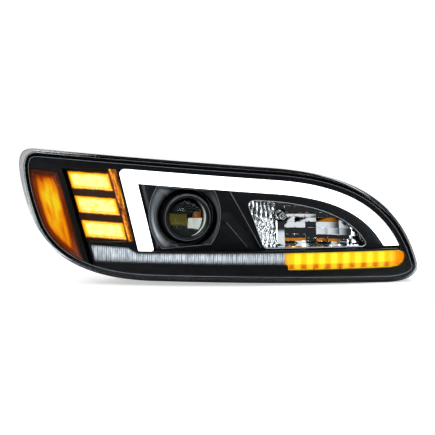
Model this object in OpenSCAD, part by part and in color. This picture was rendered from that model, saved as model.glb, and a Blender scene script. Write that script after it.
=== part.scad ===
// Wrap-around headlight assembly: projector low beam, reflector high beam, lit running-light hook,
// three-cell turn signal, side marker and sequential turn strip behind one clear lens.
// Frame: +X towards the inboard nose, +Y rearwards into the vehicle, +Z up.
// The origin is the centre of the four mounting studs, on the plane of their seats.

/* [Lens face] */
// Width of the lens face
face_w = 650; // [630:1:780]
// Height of the lens face at its outboard end
face_h = 219; // [214:1:264]
// Height of the top outboard corner above the stud pattern's centre
face_top = 115; // [112:1:126]
// Fall of the straight top edge from the outboard corner to the nose sweep
top_fall = 29; // [20:1:34]
// Length of the swept nose
nose_len = 242; // [220:1:270]
// Height of the nose tip above the bottom edge
nose_h = 26; // [20:1:34]
// Length of the swept lower outboard corner
sweep_len = 200; // [170:1:230]
// Height of the swept lower outboard corner
sweep_h = 95; // [80:1:112]
// Radius of the lens front
front_r = 900; // [800:10:1080]
// Radius of the seam where lens and housing meet
seam_r = 720; // [660:10:860]
// Place of the lens apex along the lamp
apex_x = 120; // [80:1:150]
// Depth from the lens apex to the stud seats
lamp_depth = 225; // [215:1:250]

/* [Lens and housing walls] */
// Wall of the outer lens
lens_t = 3; // [2.4:0.1:3.8]
// Depth of the lens skirt at the apex
skirt_depth = 35; // [30:1:42]
// Wall of the housing
wall_t = 3; // [2.4:0.1:3.6]
// Depth of the housing dish behind the seam
dish_depth = 30; // [26:1:40]
// Thickness of the sealant bead
seal_t = 2; // [1.6:0.1:2.6]

/* [Running light and turn signals] */
// Distance of the running light from the lens outline
drl_inset = 18.5; // [17:0.5:22]
// Width of the running light band
drl_w = 22; // [16:0.5:25]
// Width of the running light leg
leg_w = 25; // [20:1:30]
// Lean of the running light leg, degrees
leg_lean = 13; // [8:0.5:16]
// Rounding of the running light's outer corner
leg_corner_r = 12; // [6:1:16]
// Height of one turn signal cell
cell_h = 27; // [20:0.5:29]
// Width of one turn signal cell
cell_w = 64; // [50:1:66]
// Step from one turn signal cell to the next
cell_pitch = 40; // [36:0.5:42]
// Lean of the turn signal cells, degrees
cell_lean = 15; // [10:0.5:16]
// Height of the turn strip
strip_h = 20; // [14:0.5:22]
// Length of the lit amber part of the turn strip
amber_len = 208; // [150:1:240]
// How far the lit part of the turn strip reaches below the clear part
amber_drop = 9; // [4:0.5:11]

/* [Beams] */
// Place of the projector axis along the lamp
proj_x = -61; // [-66:1:-56]
// Height of the projector axis
proj_z = 6; // [0:1:10]
// Diameter of the projector lens
proj_lens_d = 63.5; // [52:0.5:66]
// Length of the high-beam window
high_w = 194; // [170:1:198]
// Height of the high-beam window
high_h = 78; // [64:1:80]
// Place of the high-beam bulb axis along the lamp
high_x = 108; // [104:1:112]
// Height of the high-beam bulb axis
high_z = 2; // [-4:1:6]
// Radius of the high-beam reflector's bowl
bowl_r = 165; // [158:1:200]
// Radius of the bulb seats
seat_r = 11; // [9:0.5:12]

/* [Aim and mounting] */
// Height of the aim pivots
pivot_z = -58; // [-62:1:-54]
// Distance of the aim pivots ahead of the stud seats
pivot_y = 88; // [84:1:92]
// Height of the aim adjuster
adjuster_z = 48; // [44:1:52]
// Radius of the aim adjuster screw
adjuster_r = 4; // [3:0.1:4.8]
// Radius of a mounting stud
stud_r = 3; // [2.5:0.1:4]
// Length of a mounting stud behind its seat
stud_len = 25; // [18:1:34]
// Stud spacing along the lamp
stud_dx = 296; // [292:1:300]
// Stud spacing up the lamp
stud_dz = 96; // [88:1:100]
// Radius of the low-beam service port
low_port_r = 48; // [40:1:50]
// Radius of the high-beam service port
high_port_r = 39; // [33:1:40]

/* [Hidden] */
$fn = 96;
curve_steps = 12;
sphere_fn = 220;
fit = 0.3;
flush = 0.8;
x_left = -face_w / 2;
x_nose = face_w / 2;
z_bot = face_top - face_h;
front_limit = -lamp_depth - 5;
back_limit = 60;

// Depths of the inner layers, measured rearwards from the lens front
rim_gap = 1.5;
tongue_t = 2;
tongue_h = 8;
bezel_d = 6.5;
bezel_t = 2.5;
trim_wall = 2;
trim_back = 31;
guide_d = 13;
guide_t = 10;
board_t = 1.6;
led_t = 1.6;
led_w = 4;
led_gap = 0.4;
mask_d = 32;
mask_t = 2.5;

// Outline of the lens face, as cubic curves between a few corner points
function cubic(a, b, c, d, t) =
    let (s = 1 - t) s * s * s * a + 3 * s * s * t * b + 3 * s * t * t * c + t * t * t * d;
function curve(a, b, c, d) = [for (i = [0 : curve_steps - 1]) cubic(a, b, c, d, i / curve_steps)];
shoulder = [x_nose - nose_len, face_top - top_fall];
nose = [x_nose, z_bot + nose_h];
heel = [x_nose - 2.1 * nose_h, z_bot];
sweep_low = [x_left + sweep_len, z_bot + 8];
sweep_high = [x_left + 22, z_bot + sweep_h];
corner_low = [x_left, face_top - 30];
corner_top = [x_left + 25, face_top];
nose_rise = shoulder.y - nose.y;
nose_out = [shoulder + [0.4 * nose_len, -8], nose + [-0.155 * nose_len, 0.77 * nose_rise]];
face_points = concat(
    curve(shoulder, nose_out[0], nose_out[1], nose),
    curve(nose, nose - [0, 0.7 * nose_h], [x_nose - 0.85 * nose_h, z_bot], heel),
    [heel],
    curve(sweep_low, sweep_low - [0.42 * sweep_len, -3], sweep_high + [29, -0.66 * sweep_h], sweep_high),
    curve(sweep_high, sweep_high + [-10, 26], corner_low - [-1, 30], corner_low),
    curve(corner_low, corner_low + [0, 20], corner_top - [19, 0], corner_top),
    [corner_top]);

// Rearward places of a lens layer and of a seam layer, at a point of the face
function front_y(p, d) =
    -lamp_depth + d + front_r - sqrt(front_r * front_r - (p.x - apex_x) * (p.x - apex_x) - p.y * p.y);
function seam_y(p, d) = -lamp_depth + skirt_depth + d + seam_r
    - sqrt(seam_r * seam_r - (p.x - apex_x) * (p.x - apex_x) - p.y * p.y);

// Height of the straight top edge
function top_edge(x) = face_top - top_fall * (x - corner_top.x) / (shoulder.x - corner_top.x);

// A line through a point that leans towards the nose as it goes down
function leaning(p, lean, z) = [p.x + (p.y - z) * tan(lean), z];

// Building blocks
module prism(y0, y1) translate([0, y1, 0]) rotate([90, 0, 0]) linear_extrude(y1 - y0) children();
module behind(d) translate([apex_x, -lamp_depth + d + front_r, 0]) sphere(front_r, $fn = sphere_fn);
module seam(d) translate([apex_x, -lamp_depth + skirt_depth + d + seam_r, 0]) sphere(seam_r, $fn = sphere_fn);
module slab(d0, d1) difference() {
    intersection() {
        prism(front_limit, back_limit) children();
        behind(d0);
    }
    behind(d1);
}
module seam_slab(d0, d1) difference() {
    intersection() {
        prism(front_limit, back_limit) children();
        seam(d0);
    }
    seam(d1);
}
module along_y(p) translate([p.x, 0, p.y]) rotate([-90, 0, 0]) children();
module rod(p, y0, y1, r) along_y(p) translate([0, 0, y0]) cylinder(r = r, h = y1 - y0);
module ball(p, y, r) along_y(p) translate([0, 0, y]) sphere(r);
module tube(p, y0, y1, r_out, r_in) difference() {
    rod(p, y0, y1, r_out);
    rod(p, y0 - 1, y1 + 1, r_in);
}
module turned(p, profile) along_y(p) rotate_extrude() polygon(profile);
module face(inset) offset(delta = -inset) polygon(face_points);
module ring(i0, i1) difference() {
    face(i0);
    face(i1);
}
module shrunk(by) offset(delta = -by) children();
module rounded(r) offset(r = r) offset(delta = -r) children();

// Flat shapes of the windows behind the lens
leg_top = [x_left + 154, face_top - 37];
cell_top = [x_left + 73, face_top - 34];
beam_z = z_bot + 56.5;
strip_top = z_bot + 53;
strip_left = [x_left + 107, strip_top + 13];
strip_end = 22;
strip_split = x_nose - strip_end - amber_len;
marker_top = [x_left + 56, face_top - 35];
high_left = [42, 34];
high_low = high_left.y - high_h;
high_tip = [high_left.x + high_w, high_low + 4];
function cell_at(i) = leaning(cell_top, cell_lean, cell_top.y - i * cell_pitch);

module leg_side(right) {
    a = leaning(leg_top, leg_lean, face_top + 20);
    b = leaning(leg_top, leg_lean, z_bot - 20);
    far = right ? 2 * face_w : -2 * face_w;
    polygon([a, [far, a.y], [far, b.y], b]);
}
module beam_window() intersection() {
    face(drl_inset - fit);
    translate([-fit, 0]) leg_side(true);
    translate([-face_w, beam_z - fit]) square([2 * face_w, face_h]);
}
module running_light_shape() intersection() {
    rounded(leg_corner_r) intersection() {
        face(drl_inset);
        leg_side(true);
    }
    rounded(4) {
        intersection() {
            ring(drl_inset, drl_inset + drl_w);
            leg_side(true);
            translate([-face_w, beam_z + 4]) square([2 * face_w, face_h]);
        }
        intersection() {
            face(drl_inset);
            leg_side(true);
            translate([leg_w, 0]) leg_side(false);
            translate([-face_w, beam_z]) square([2 * face_w, face_h]);
        }
    }
}
module turn_window() {
    top = cell_top.y + 5;
    low = cell_at(2).y - cell_h - 6;
    a = leaning(cell_top, cell_lean, top) - [4, 0];
    b = leaning(cell_top, cell_lean, low) - [4, 0];
    c = leaning(leg_top, leg_lean, low) - [2 * trim_wall, 0];
    d = leaning(leg_top, leg_lean, top) - [2 * trim_wall, 0];
    polygon([a, b, c, d]);
}
module cell(i) {
    a = cell_at(i);
    b = leaning(a, cell_lean, a.y - cell_h);
    fall = [cell_w, -4];
    polygon([a, b, b + fall, a + fall]);
}
module marker_window() rounded(3) intersection() {
    face(11);
    polygon([[x_left - 20, marker_top.y + 9], marker_top, leaning(marker_top, cell_lean, z_bot),
        [x_left - 20, z_bot]]);
}
module strip_window() rounded(3) {
    low = strip_top - strip_h;
    end = x_nose - strip_end;
    polygon([strip_left, strip_left + [60, -4], [strip_left.x + 74, strip_top], [end - 12, strip_top],
        [end - 2, strip_top - 4], [end, strip_top - 12], [end - 3, low - 1], [end - 12, low - amber_drop + 2],
        [end - 26, low - amber_drop], [strip_split + 4, low - amber_drop], [strip_split + 4, low],
        leaning(strip_left, cell_lean, low + 5)]);
}
module strip_part(x0, x1) intersection() {
    shrunk(fit) strip_window();
    translate([x0, z_bot]) square([x1 - x0, face_h]);
}
module high_window() rounded(10) polygon(concat(
    [leaning(high_left, cell_lean, high_low), [high_tip.x - 4, high_low]],
    curve(high_tip, high_tip + [-23, 42], high_left + [108, -4], high_left),
    [high_left]));
module shroud_mouth(r) {
    grow = r - shroud_r;
    intersection() {
        translate(shroud_at + [shroud_arc, 0]) circle(r + shroud_arc);
        translate(shroud_at - [shroud_arc, 0]) circle(r + shroud_arc);
        translate(shroud_at) rotate(shroud_top_roll) translate([-2 * r, -2 * r])
            square([4 * r, 2 * r + shroud_lift + grow]);
        translate(shroud_at) rotate(shroud_roll) translate([-2 * r, -shroud_drop - grow])
            square([4 * r, 2 * r + shroud_drop + grow]);
    }
}

// Places of the parts inside
shroud_at = [proj_x - 4.4, proj_z + 5];
shroud_r = 58;
shroud_arc = 27.5;
shroud_top_roll = -4.3;
shroud_lift = 43;
shroud_roll = 5.7;
shroud_drop = 53;
proj = [proj_x, proj_z];
high = [high_x, high_z];
proj_front = front_y(proj, 22);
lens_cap_r = 42;
proj_lens_r = proj_lens_d / 2;
lens_back = proj_front + lens_cap_r - sqrt(lens_cap_r * lens_cap_r - proj_lens_r * proj_lens_r) + 5;
holder_y = lens_back + 30;
holder_lip = 6;
ring_t = 5;
ring_w = 8;
aim_gap = 5.5;
flange_r = 58;
flange_t = 3.5;
holder_step = lens_back + 2;
holder_r = proj_lens_r + 4;
holder_root_r = flange_r - 12;
holder_gap = 4.5;
shield_t = 2;
bowl_y = holder_y + flange_t + shield_t + 2 * fit;
screw_ring = 51;
projector_holes = [for (a = [45 : 90 : 315]) proj + screw_ring * [cos(a), sin(a)]];
frame_y = -97;
frame_t = 3;
low_seat_y = -74;
high_apex_y = -105;
high_front_y = -172;
high_seat_y = -88;
rear_y = -32;
collar_y = -14;
hook_w = 2.4;
hook_t = 3;
hook_arc = 30;
cap_t = 3;
cap_skirt = 10;
cap_seal_t = 2;
grip_w = 10;
grip_h = 8;
tub_points = [[-170, 84], [172, 57], [178, -84], [-170, -84]];
tub_r = 14;
adjuster = [30, adjuster_z];
grommet_t = 5;
grommet_lip = 2.5;
pivots = [[-132, pivot_z], [146, pivot_z]];
pivot_ball_r = 5;
ball_fit = 0.08;
nut_len = 10;
nut_gap = 0.9;
boss_r = 8;
stud_root = rear_y + wall_t + 2;
stud_collar_r = stud_r + 1.5;
studs = [for (sx = [-1, 1], sz = [-1, 1]) [sx * stud_dx / 2, sz * stud_dz / 2]];
driver_at = [30, -14];
driver_w = 50;
driver_h = 66;
driver_d = 18;
driver_foot = 8;
driver_fins = 9;
fin_t = 2;
driver_holes = [for (sz = [-1, 1]) driver_at + [0, sz * (driver_h / 2 - 6)]];
plug_at = [-143, 0];
plug_w = 40;
plug_h = 24;
plug_d = 22;
plug_wall = 2.5;
plug_floor = 4;
pin_w = 2;
pin_reach = 11;
vents = [[-98, -68], [98, -68]];
vent_r = 5;
vent_wall = 2;
boss_inset = lens_t + rim_gap + trim_wall + 6.5;
bezel_bosses = [[x_left + 110, top_edge(x_left + 110) - boss_inset], [-60, top_edge(-60) - boss_inset],
    [x_nose - 170, z_bot + boss_inset + 2], [x_left + 140, z_bot + boss_inset + 16]];
boss_face = 42;
boss_post_r = 4.5;
bezel_boss_r = 4;
trim_screw_r = 1.55;
screw_head_r = 3.6;
screw_head_t = 2.6;
clear_r = trim_screw_r + 0.35;
pivot_post_r = 7;
pivot_shank_r = 3;
pivot_post_y = -pivot_y + 18;
pivot_sink = 22;
vent_y = -18;
reflector_bosses = [[78, -34], [78, 22], [150, -30]];
frame_points = [[-150, 62], [20, 62], [160, 34], [162, -70], [-150, -70]];

step_points = [[140, 57], [178, 46], [222, 18], [238, -24], [240, -84], [140, -84]];
step_y = -104;
module tub(inset) offset(r = tub_r - inset) offset(delta = -tub_r) polygon(tub_points);
module step_tub(inset) offset(r = tub_r - inset) offset(delta = -tub_r) polygon(step_points);
module tub_space(grow) {
    prism(front_limit, rear_y + grow) tub(wall_t - grow);
    prism(front_limit, step_y + grow) step_tub(wall_t - grow);
}

// Casing
module housing() color("#1d1d1f") difference() {
    union() {
        seam_slab(seal_t, dish_depth) ring(flush, flush + wall_t);
        seam_slab(seal_t, seal_t + wall_t) ring(flush, lens_t + fit + tongue_t);
        seam_slab(-tongue_h, seal_t + wall_t) ring(lens_t + fit, lens_t + fit + tongue_t);
        seam_slab(dish_depth - 0.2, dish_depth + wall_t) face(flush);
        intersection() {
            tub_space(wall_t);
            seam(dish_depth + 1);
        }
        outboard_ribs();
        for (p = bezel_bosses) rod(p, front_y(p, boss_face + fit), seam_y(p, dish_depth + 1), boss_post_r);
    }
    intersection() {
        tub_space(0);
        seam(dish_depth - 1);
    }
    prism(rear_y, back_limit) tub(-1);
    for (p = bezel_bosses) rod(p, front_y(p, boss_face) - 1, seam_y(p, dish_depth + wall_t + 9), clear_r);
}
back_face = rear_y + wall_t;
module back_plate() color("#1d1d1f") difference() {
    prism(rear_y, back_face) tub(0);
    rod(proj, rear_y - 1, back_face + 1, low_port_r);
    rod(high, rear_y - 1, back_face + 1, high_port_r);
    for (p = vents) rod(p, rear_y - 1, back_face + 1, vent_r - vent_wall);
    rod(adjuster, rear_y - 1, back_face + 1, adjuster_r + grommet_t);
    translate([plug_at.x - plug_w / 2 + plug_wall, rear_y - 1, plug_at.y - plug_h / 2 + plug_wall])
        cube([plug_w - 2 * plug_wall, wall_t + 2, plug_h - 2 * plug_wall]);
}
module port_collar(p, r) color("#1d1d1f") {
    tube(p, back_face, collar_y, r + wall_t, r);
    cap_hooks(p, r + wall_t);
}
module low_port_collar() port_collar(proj, low_port_r);
module high_port_collar() port_collar(high, high_port_r);
module rear_posts() color("#1d1d1f") {
    for (p = studs) difference() {
        rod(p, back_face, 0, boss_r);
        rod(p, stud_root, 1, stud_collar_r);
    }
    for (p = vents) tube(p, back_face, vent_y, vent_r, vent_r - vent_wall);
}
module pivot_posts() color("#1d1d1f") for (p = pivots) difference() {
    rod(p, pivot_post_y, rear_y, pivot_post_r);
    rod(p, pivot_post_y - 1, pivot_post_y + pivot_sink, pivot_shank_r);
}
module outboard_ribs() intersection() {
    seam(dish_depth + 1);
    for (z = [-52, 0, 52]) translate([0, 0, z - wall_t / 2]) linear_extrude(wall_t)
        polygon([[-169, rear_y], [-169, -130], [-282, -130], [-282, -62]]);
}
module cap_hooks(p, r) along_y(p) for (a = [0, 120, 240]) rotate(a) translate([0, 0, collar_y - 1 - hook_t])
    rotate_extrude(angle = hook_arc) translate([r - 0.5, 0]) square([hook_w + 0.5, hook_t]);

module outer_lens() color("#dfe6ea", 0.3) difference() {
    intersection() {
        prism(front_limit, back_limit) face(0);
        behind(0);
    }
    intersection() {
        prism(front_limit, back_limit) face(lens_t);
        behind(lens_t);
    }
    seam(0);
}
module lens_seal() color("#101010") seam_slab(0, seal_t) ring(1, lens_t);

// Trim behind the lens
module windows() {
    marker_window();
    turn_window();
    beam_window();
    strip_window();
}
module bezel() color("#26262a") difference() {
    union() {
        slab(bezel_d, bezel_d + bezel_t) difference() {
            face(lens_t + rim_gap);
            windows();
        }
        difference() {
            intersection() {
                prism(front_limit, back_limit) ring(lens_t + rim_gap, lens_t + rim_gap + trim_wall);
                behind(bezel_d);
            }
            seam(-tongue_h - fit);
        }
        slab(bezel_d + 1, trim_back) difference() {
            offset(delta = trim_wall) windows();
            windows();
        }
        for (p = bezel_bosses)
            rod(p, front_y(p, bezel_d + bezel_t - 0.5), front_y(p, boss_face), bezel_boss_r);
    }
    for (p = bezel_bosses) rod(p, front_y(p, boss_face - 22), front_y(p, boss_face) + 1, trim_screw_r);
}
module beam_mask() color("#141416") difference() {
    union() {
        slab(mask_d, mask_d + mask_t) shrunk(fit) beam_window();
        slab(mask_d, mask_d + mask_t + 1.5) difference() {
            offset(delta = trim_wall) high_window();
            high_window();
        }
    }
    prism(front_limit, back_limit) shroud_mouth(shroud_r + fit);
    prism(front_limit, back_limit) high_window();
}
shroud_floor = front_y(shroud_at - [shroud_r, 0], mask_d + 10);
holder_at_floor = lookup(shroud_floor, [[holder_step, holder_r], [holder_y, holder_root_r]]);
shroud_hole = max(proj_lens_r + ring_w + aim_gap, holder_at_floor + holder_gap);
module projector_shroud() color("#18181a") difference() {
    intersection() {
        prism(front_limit, shroud_floor) shroud_mouth(shroud_r);
        behind(mask_d - 1);
    }
    prism(front_limit, shroud_floor - trim_wall) shroud_mouth(shroud_r - trim_wall);
    rod(proj, shroud_floor - 4, shroud_floor + 1, shroud_hole);
}

// Running light
module running_light_guide() color("white") slab(guide_d, guide_d + guide_t) running_light_shape();
running_board_d = guide_d + guide_t + led_gap + led_t;
module running_light_board() color("#2f5d3a")
    slab(running_board_d, running_board_d + board_t) running_light_shape();
module running_light_leds() color("#f4f0d0") slab(running_board_d - led_t, running_board_d)
    for (p = running_led_points()) translate(p) square(led_w, center = true);
function nose_point(t) = cubic(shoulder, nose_out[0], nose_out[1], nose, t);
function inward(t) = let (v = nose_point(t + 0.01) - nose_point(t - 0.01)) [v.y, -v.x] / norm(v);
function running_led_points() = let (mid = drl_inset + drl_w / 2, run = shoulder.x - leg_top.x - 40) concat(
    [for (i = [0 : 11]) let (x = shoulder.x - i * run / 11)
        [x, top_edge(x) - mid]],
    [for (t = [0.12 : 0.1 : 0.72]) nose_point(t) + mid * inward(t)],
    [for (i = [0 : 4]) leaning(leg_top, leg_lean, leg_top.y - 24 - 20 * i) + [leg_w / 2, 0]]);

// Turn signal
turn_d = 22;
turn_depth = 20;
module turn_tray() color("#a85a12") difference() {
    slab(turn_d, turn_d + turn_depth) shrunk(fit) turn_window();
    prism(front_limit, back_limit) for (i = [0 : 2]) offset(delta = fit) cell(i);
}
module turn_lens(i) color("#ffd23c") slab(turn_d + 1, turn_d + 5) cell(i);
turn_board_d = turn_d + turn_depth + fit;
module turn_board() color("#2f5d3a") slab(turn_board_d, turn_board_d + board_t) shrunk(fit) turn_window();
module turn_leds() color("#ffe28a") slab(turn_board_d - led_t, turn_board_d)
    for (i = [0 : 2], k = [0 : 3])
        translate(cell_at(i) + [cell_w * (k + 0.5) / 4 + 3.5, -cell_h / 2 - 2]) square(led_w, center = true);

// Side marker
marker_d = 11;
module side_marker_lens() color("#ff8a1e") slab(marker_d, marker_d + marker_t) shrunk(fit) marker_window();
marker_t = 3;
marker_floor_d = marker_d + 14;
marker_board_d = marker_floor_d - board_t - 0.1;
module side_marker_tray() color("#c9c9cc") difference() {
    slab(marker_d + marker_t + fit, marker_floor_d + trim_wall) shrunk(fit) marker_window();
    slab(marker_d, marker_floor_d) shrunk(fit + trim_wall) marker_window();
}
module side_marker_board() color("#2f5d3a") slab(marker_board_d, marker_board_d + board_t)
    intersection() {
        shrunk(2 * fit + trim_wall) marker_window();
        translate([x_left, proj_z - 22]) square([face_w, 64]);
    }
module side_marker_leds() color("#ffe28a") slab(marker_board_d - led_t, marker_board_d)
    for (i = [0 : 2]) translate(leaning(marker_top, cell_lean, proj_z - 8 + 18 * i) - [16, 0])
        square(led_w, center = true);

// Turn strip
strip_d = 14;
strip_t = 9;
module clear_strip() color("#e8edf2", 0.6) slab(strip_d, strip_d + strip_t)
    strip_part(x_left, strip_split - fit / 2);
module amber_strip() color("#ffb400") slab(strip_d, strip_d + strip_t)
    strip_part(strip_split + fit / 2, x_nose);
strip_board_d = strip_d + strip_t + led_gap + led_t;
module strip_board() color("#2f5d3a") slab(strip_board_d, strip_board_d + board_t) shrunk(fit) strip_window();
strip_led_n = 26;
module strip_leds() color("#ffe28a") slab(strip_board_d - led_t, strip_board_d)
    for (i = [0 : strip_led_n - 1])
        translate([strip_left.x + 12 + i * (x_nose - 2 * strip_end - strip_left.x) / (strip_led_n - 1),
            strip_top - strip_h / 2]) square(led_w, center = true);

// Rear fittings
module led_driver() color("#8d9094") translate([driver_at.x, rear_y + wall_t, driver_at.y]) difference() {
    union() {
        translate([-driver_w / 2, 0, -driver_h / 2]) cube([driver_w, driver_foot, driver_h]);
        for (i = [0 : driver_fins - 1])
            translate([(i / (driver_fins - 1) - 0.5) * (driver_w - 3 * fin_t) - fin_t / 2, driver_foot - 1,
                12 - driver_h / 2]) cube([fin_t, driver_d - driver_foot + 1, driver_h - 24]);
    }
    for (p = driver_holes) rod(p - driver_at, -1, driver_foot + 1, clear_r);
}
module driver_screws() color("#b8bbbf") for (p = driver_holes)
    screw(p, rear_y + wall_t, rear_y + wall_t + driver_foot, trim_screw_r, 1);
module screw(p, y_tip, y_head, r, side) {
    y_end = y_head + side * screw_head_t;
    y_neck = y_head + side * screw_head_t / 2;
    rod(p, min(y_tip, y_neck), max(y_tip, y_neck), r);
    rod(p, min(y_head, y_end), max(y_head, y_end), screw_head_r);
}
module connector_header() color("#2b2b2e") translate([plug_at.x, rear_y + wall_t, plug_at.y]) difference() {
    translate([-plug_w / 2, 0, -plug_h / 2]) cube([plug_w, plug_d, plug_h]);
    translate([plug_wall - plug_w / 2, plug_floor, plug_wall - plug_h / 2])
        cube([plug_w - 2 * plug_wall, plug_d, plug_h - 2 * plug_wall]);
    for (p = pin_places) translate([p.x - pin_w / 2, -1, p.y - pin_w / 2])
        cube([pin_w, plug_floor + 2, pin_w]);
}
pin_places = [for (i = [-1 : 1], k = [-0.5, 0.5]) [i * 9, k * 8]];
module connector_pins() color("#c9a94a") translate([plug_at.x, rear_y + wall_t, plug_at.y])
    for (p = pin_places) translate([p.x - pin_w / 2, -plug_floor, p.y - pin_w / 2])
        cube([pin_w, plug_floor + pin_reach, pin_w]);
module vent_caps() color("#222224") for (p = vents) difference() {
    rod(p, vent_y - 9, vent_y + 8, vent_r + 3);
    rod(p, vent_y - 10, vent_y + fit, vent_r + 0.1);
}
module mounting_studs() color("#b9bcc0") for (p = studs) {
    rod(p, stud_root, 0, stud_collar_r);
    rod(p, -1, stud_len, stud_r);
}
module bezel_screws() color("#b8bbbf") for (p = bezel_bosses)
    screw(p, front_y(p, boss_face - 14), seam_y(p, dish_depth + wall_t + 3), trim_screw_r, 1);
module pivot_studs() color("#c4c7cb") for (p = pivots) {
    rod(p, pivot_post_y - 8, pivot_post_y + pivot_sink, pivot_shank_r);
    rod(p, -pivot_y + 2, pivot_post_y - 7, pivot_shank_r - 0.4);
    ball(p, -pivot_y, pivot_ball_r);
}
module adjuster_grommet() color("#1a1a1a") difference() {
    union() {
        rod(adjuster, rear_y - grommet_lip, rear_y + wall_t + grommet_lip, adjuster_r + grommet_t - 0.1);
        rod(adjuster, rear_y - grommet_lip, rear_y - fit, adjuster_r + grommet_t + 3);
        rod(adjuster, rear_y + wall_t + fit, rear_y + wall_t + grommet_lip, adjuster_r + grommet_t + 3);
    }
    rod(adjuster, rear_y - grommet_lip - 1, rear_y + wall_t + grommet_lip + 1, adjuster_r + fit);
}

// Aimed beam carrier
module aim_frame() color("#55585c") difference() {
    union() {
        prism(frame_y, frame_y + frame_t) offset(r = 8) offset(delta = -8) polygon(frame_points);
        for (p = projector_holes) rod(p, bowl_y + bowl_flange_t + fit, frame_y + 1, boss_post_r);
    }
    frame_hole(proj, bowl_mouth_r + bowl_t);
    frame_hole(high, seat_r + 6);
    frame_hole(adjuster, adjuster_r + 2.5);
    for (p = reflector_bosses) frame_hole(p, clear_r);
    for (p = projector_holes) rod(p, bowl_y, bowl_y + 16, trim_screw_r);
}
module frame_hole(p, r) rod(p, frame_y - 1, frame_y + frame_t + 1, r);
module pivot_sockets() color("#e8e4d8") for (p = pivots) difference() {
    rod(p, frame_y + frame_t, -pivot_y + 4, pivot_ball_r + 4);
    ball(p, -pivot_y, pivot_ball_r + ball_fit);
    rod(p, -pivot_y, -pivot_y + 5, pivot_shank_r + 1.2);
}
module adjuster_nut() color("#e8e4d8")
    tube(adjuster, frame_y + frame_t, frame_y + frame_t + nut_len, adjuster_r + 5, adjuster_r + nut_gap);
module screw_holes() for (p = projector_holes) rod(p, holder_y - 1, bowl_y + 5, clear_r);
bowl_t = 2;
bowl_flange_t = 3;
bowl_mouth_r = 40;
bowl_len = low_seat_y - 6 - bowl_y - bowl_flange_t;
bowl_steps = 10;
bowl_end = acos((seat_r + 1) / bowl_mouth_r);
function bowl_arc(grow) = [for (i = [0 : bowl_steps]) let (a = bowl_end * i / bowl_steps)
    [(bowl_mouth_r + grow) * cos(a), bowl_y + bowl_flange_t + (bowl_len + grow) * sin(a)]];
function reversed(list) = [for (i = [len(list) - 1 : -1 : 0]) list[i]];
module projector_bowl() color("#9fa2a6") difference() {
    turned(proj, concat([[bowl_mouth_r, bowl_y], [flange_r, bowl_y], [flange_r, bowl_y + bowl_flange_t]],
        bowl_arc(bowl_t), [[seat_r + 4, low_seat_y], [seat_r, low_seat_y]], reversed(bowl_arc(0))));
    screw_holes();
}
module cutoff_shield() color("#777a7e") difference() {
    rod(proj, holder_y + flange_t + fit, holder_y + flange_t + fit + shield_t, flange_r - 1);
    intersection() {
        rod(proj, holder_y, bowl_y + 5, 30);
        translate([proj_x - 40, -lamp_depth, proj_z]) cube([80, lamp_depth, 40]);
    }
    screw_holes();
}
module lens_holder() color("#202022") difference() {
    front = lens_back - holder_lip;
    seat = lens_back + fit;
    back = holder_y + flange_t;
    turned(proj, [[proj_lens_r + fit, front], [holder_r, front], [holder_r, holder_step],
        [holder_root_r, holder_y], [flange_r, holder_y], [flange_r, back], [holder_root_r - 2, back],
        [proj_lens_r - 2, holder_step], [proj_lens_r - 2, seat], [proj_lens_r + fit, seat]]);
    screw_holes();
}
module projector_lens() color("#cfe3ee", 0.5) intersection() {
    translate([proj_x, proj_front + lens_cap_r, proj_z]) sphere(lens_cap_r);
    rod(proj, proj_front - 1, lens_back, proj_lens_r);
}
module lens_ring() color("#3a3a3e") {
    seat = lens_back - holder_lip;
    tube(proj, seat - ring_t, seat, proj_lens_r + ring_w, proj_lens_r + fit);
}
module projector_screws() color("#b8bbbf") for (p = projector_holes)
    screw(p, bowl_y + 14, holder_y, trim_screw_r, -1);
module high_beam_reflector() color("#d9dcdf") difference() {
    union() {
        intersection() {
            prism(high_front_y, high_apex_y + 20) offset(delta = 4) high_window();
            translate([high_x, high_apex_y - bowl_r, high_z]) sphere(bowl_r + 2, $fn = 160);
        }
        rod(high, high_apex_y - 1, high_seat_y, seat_r + 4);
        for (p = reflector_bosses) rod(p, high_apex_y - bowl_back(p), frame_y - fit, boss_post_r);
    }
    intersection() {
        prism(high_front_y - 1, high_apex_y + 20) offset(delta = 2) high_window();
        translate([high_x, high_apex_y - bowl_r, high_z]) sphere(bowl_r, $fn = 160);
    }
    rod(high, high_apex_y - 20, high_seat_y + 1, seat_r);
    for (p = reflector_bosses) rod(p, frame_y - 12, frame_y, trim_screw_r);
}
function bowl_back(p) = let (o = p - high) bowl_r - sqrt(bowl_r * bowl_r - o.x * o.x - o.y * o.y) - 1;
module reflector_screws() color("#b8bbbf") for (p = reflector_bosses)
    screw(p, frame_y - 10, frame_y + frame_t, trim_screw_r, 1);

// Bulbs
bulb_fit = 0.05;
bulb_plug = 6;
bulb_flange_r = seat_r + 6;
bulb_flange_t = 3.2;
bulb_body_len = 12;
glass_r = 5.5;
module bulb_base(p, seat_y) color("#3b3b3f") union() {
    flange_back = seat_y + fit + bulb_flange_t;
    rod(p, seat_y - bulb_plug, seat_y + fit + 1, seat_r - bulb_fit);
    rod(p, seat_y + fit, flange_back, bulb_flange_r);
    rod(p, flange_back - 0.5, flange_back + bulb_body_len, seat_r + 1);
    translate([p.x - 7, flange_back + 6, p.y - 8]) cube([14, 14, 6]);
}
module bulb_glass(p, seat_y, reach) color("#f2e6c0", 0.6) union() {
    rod(p, seat_y - reach, seat_y - bulb_plug, glass_r);
    ball(p, seat_y - reach, glass_r);
}

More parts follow.
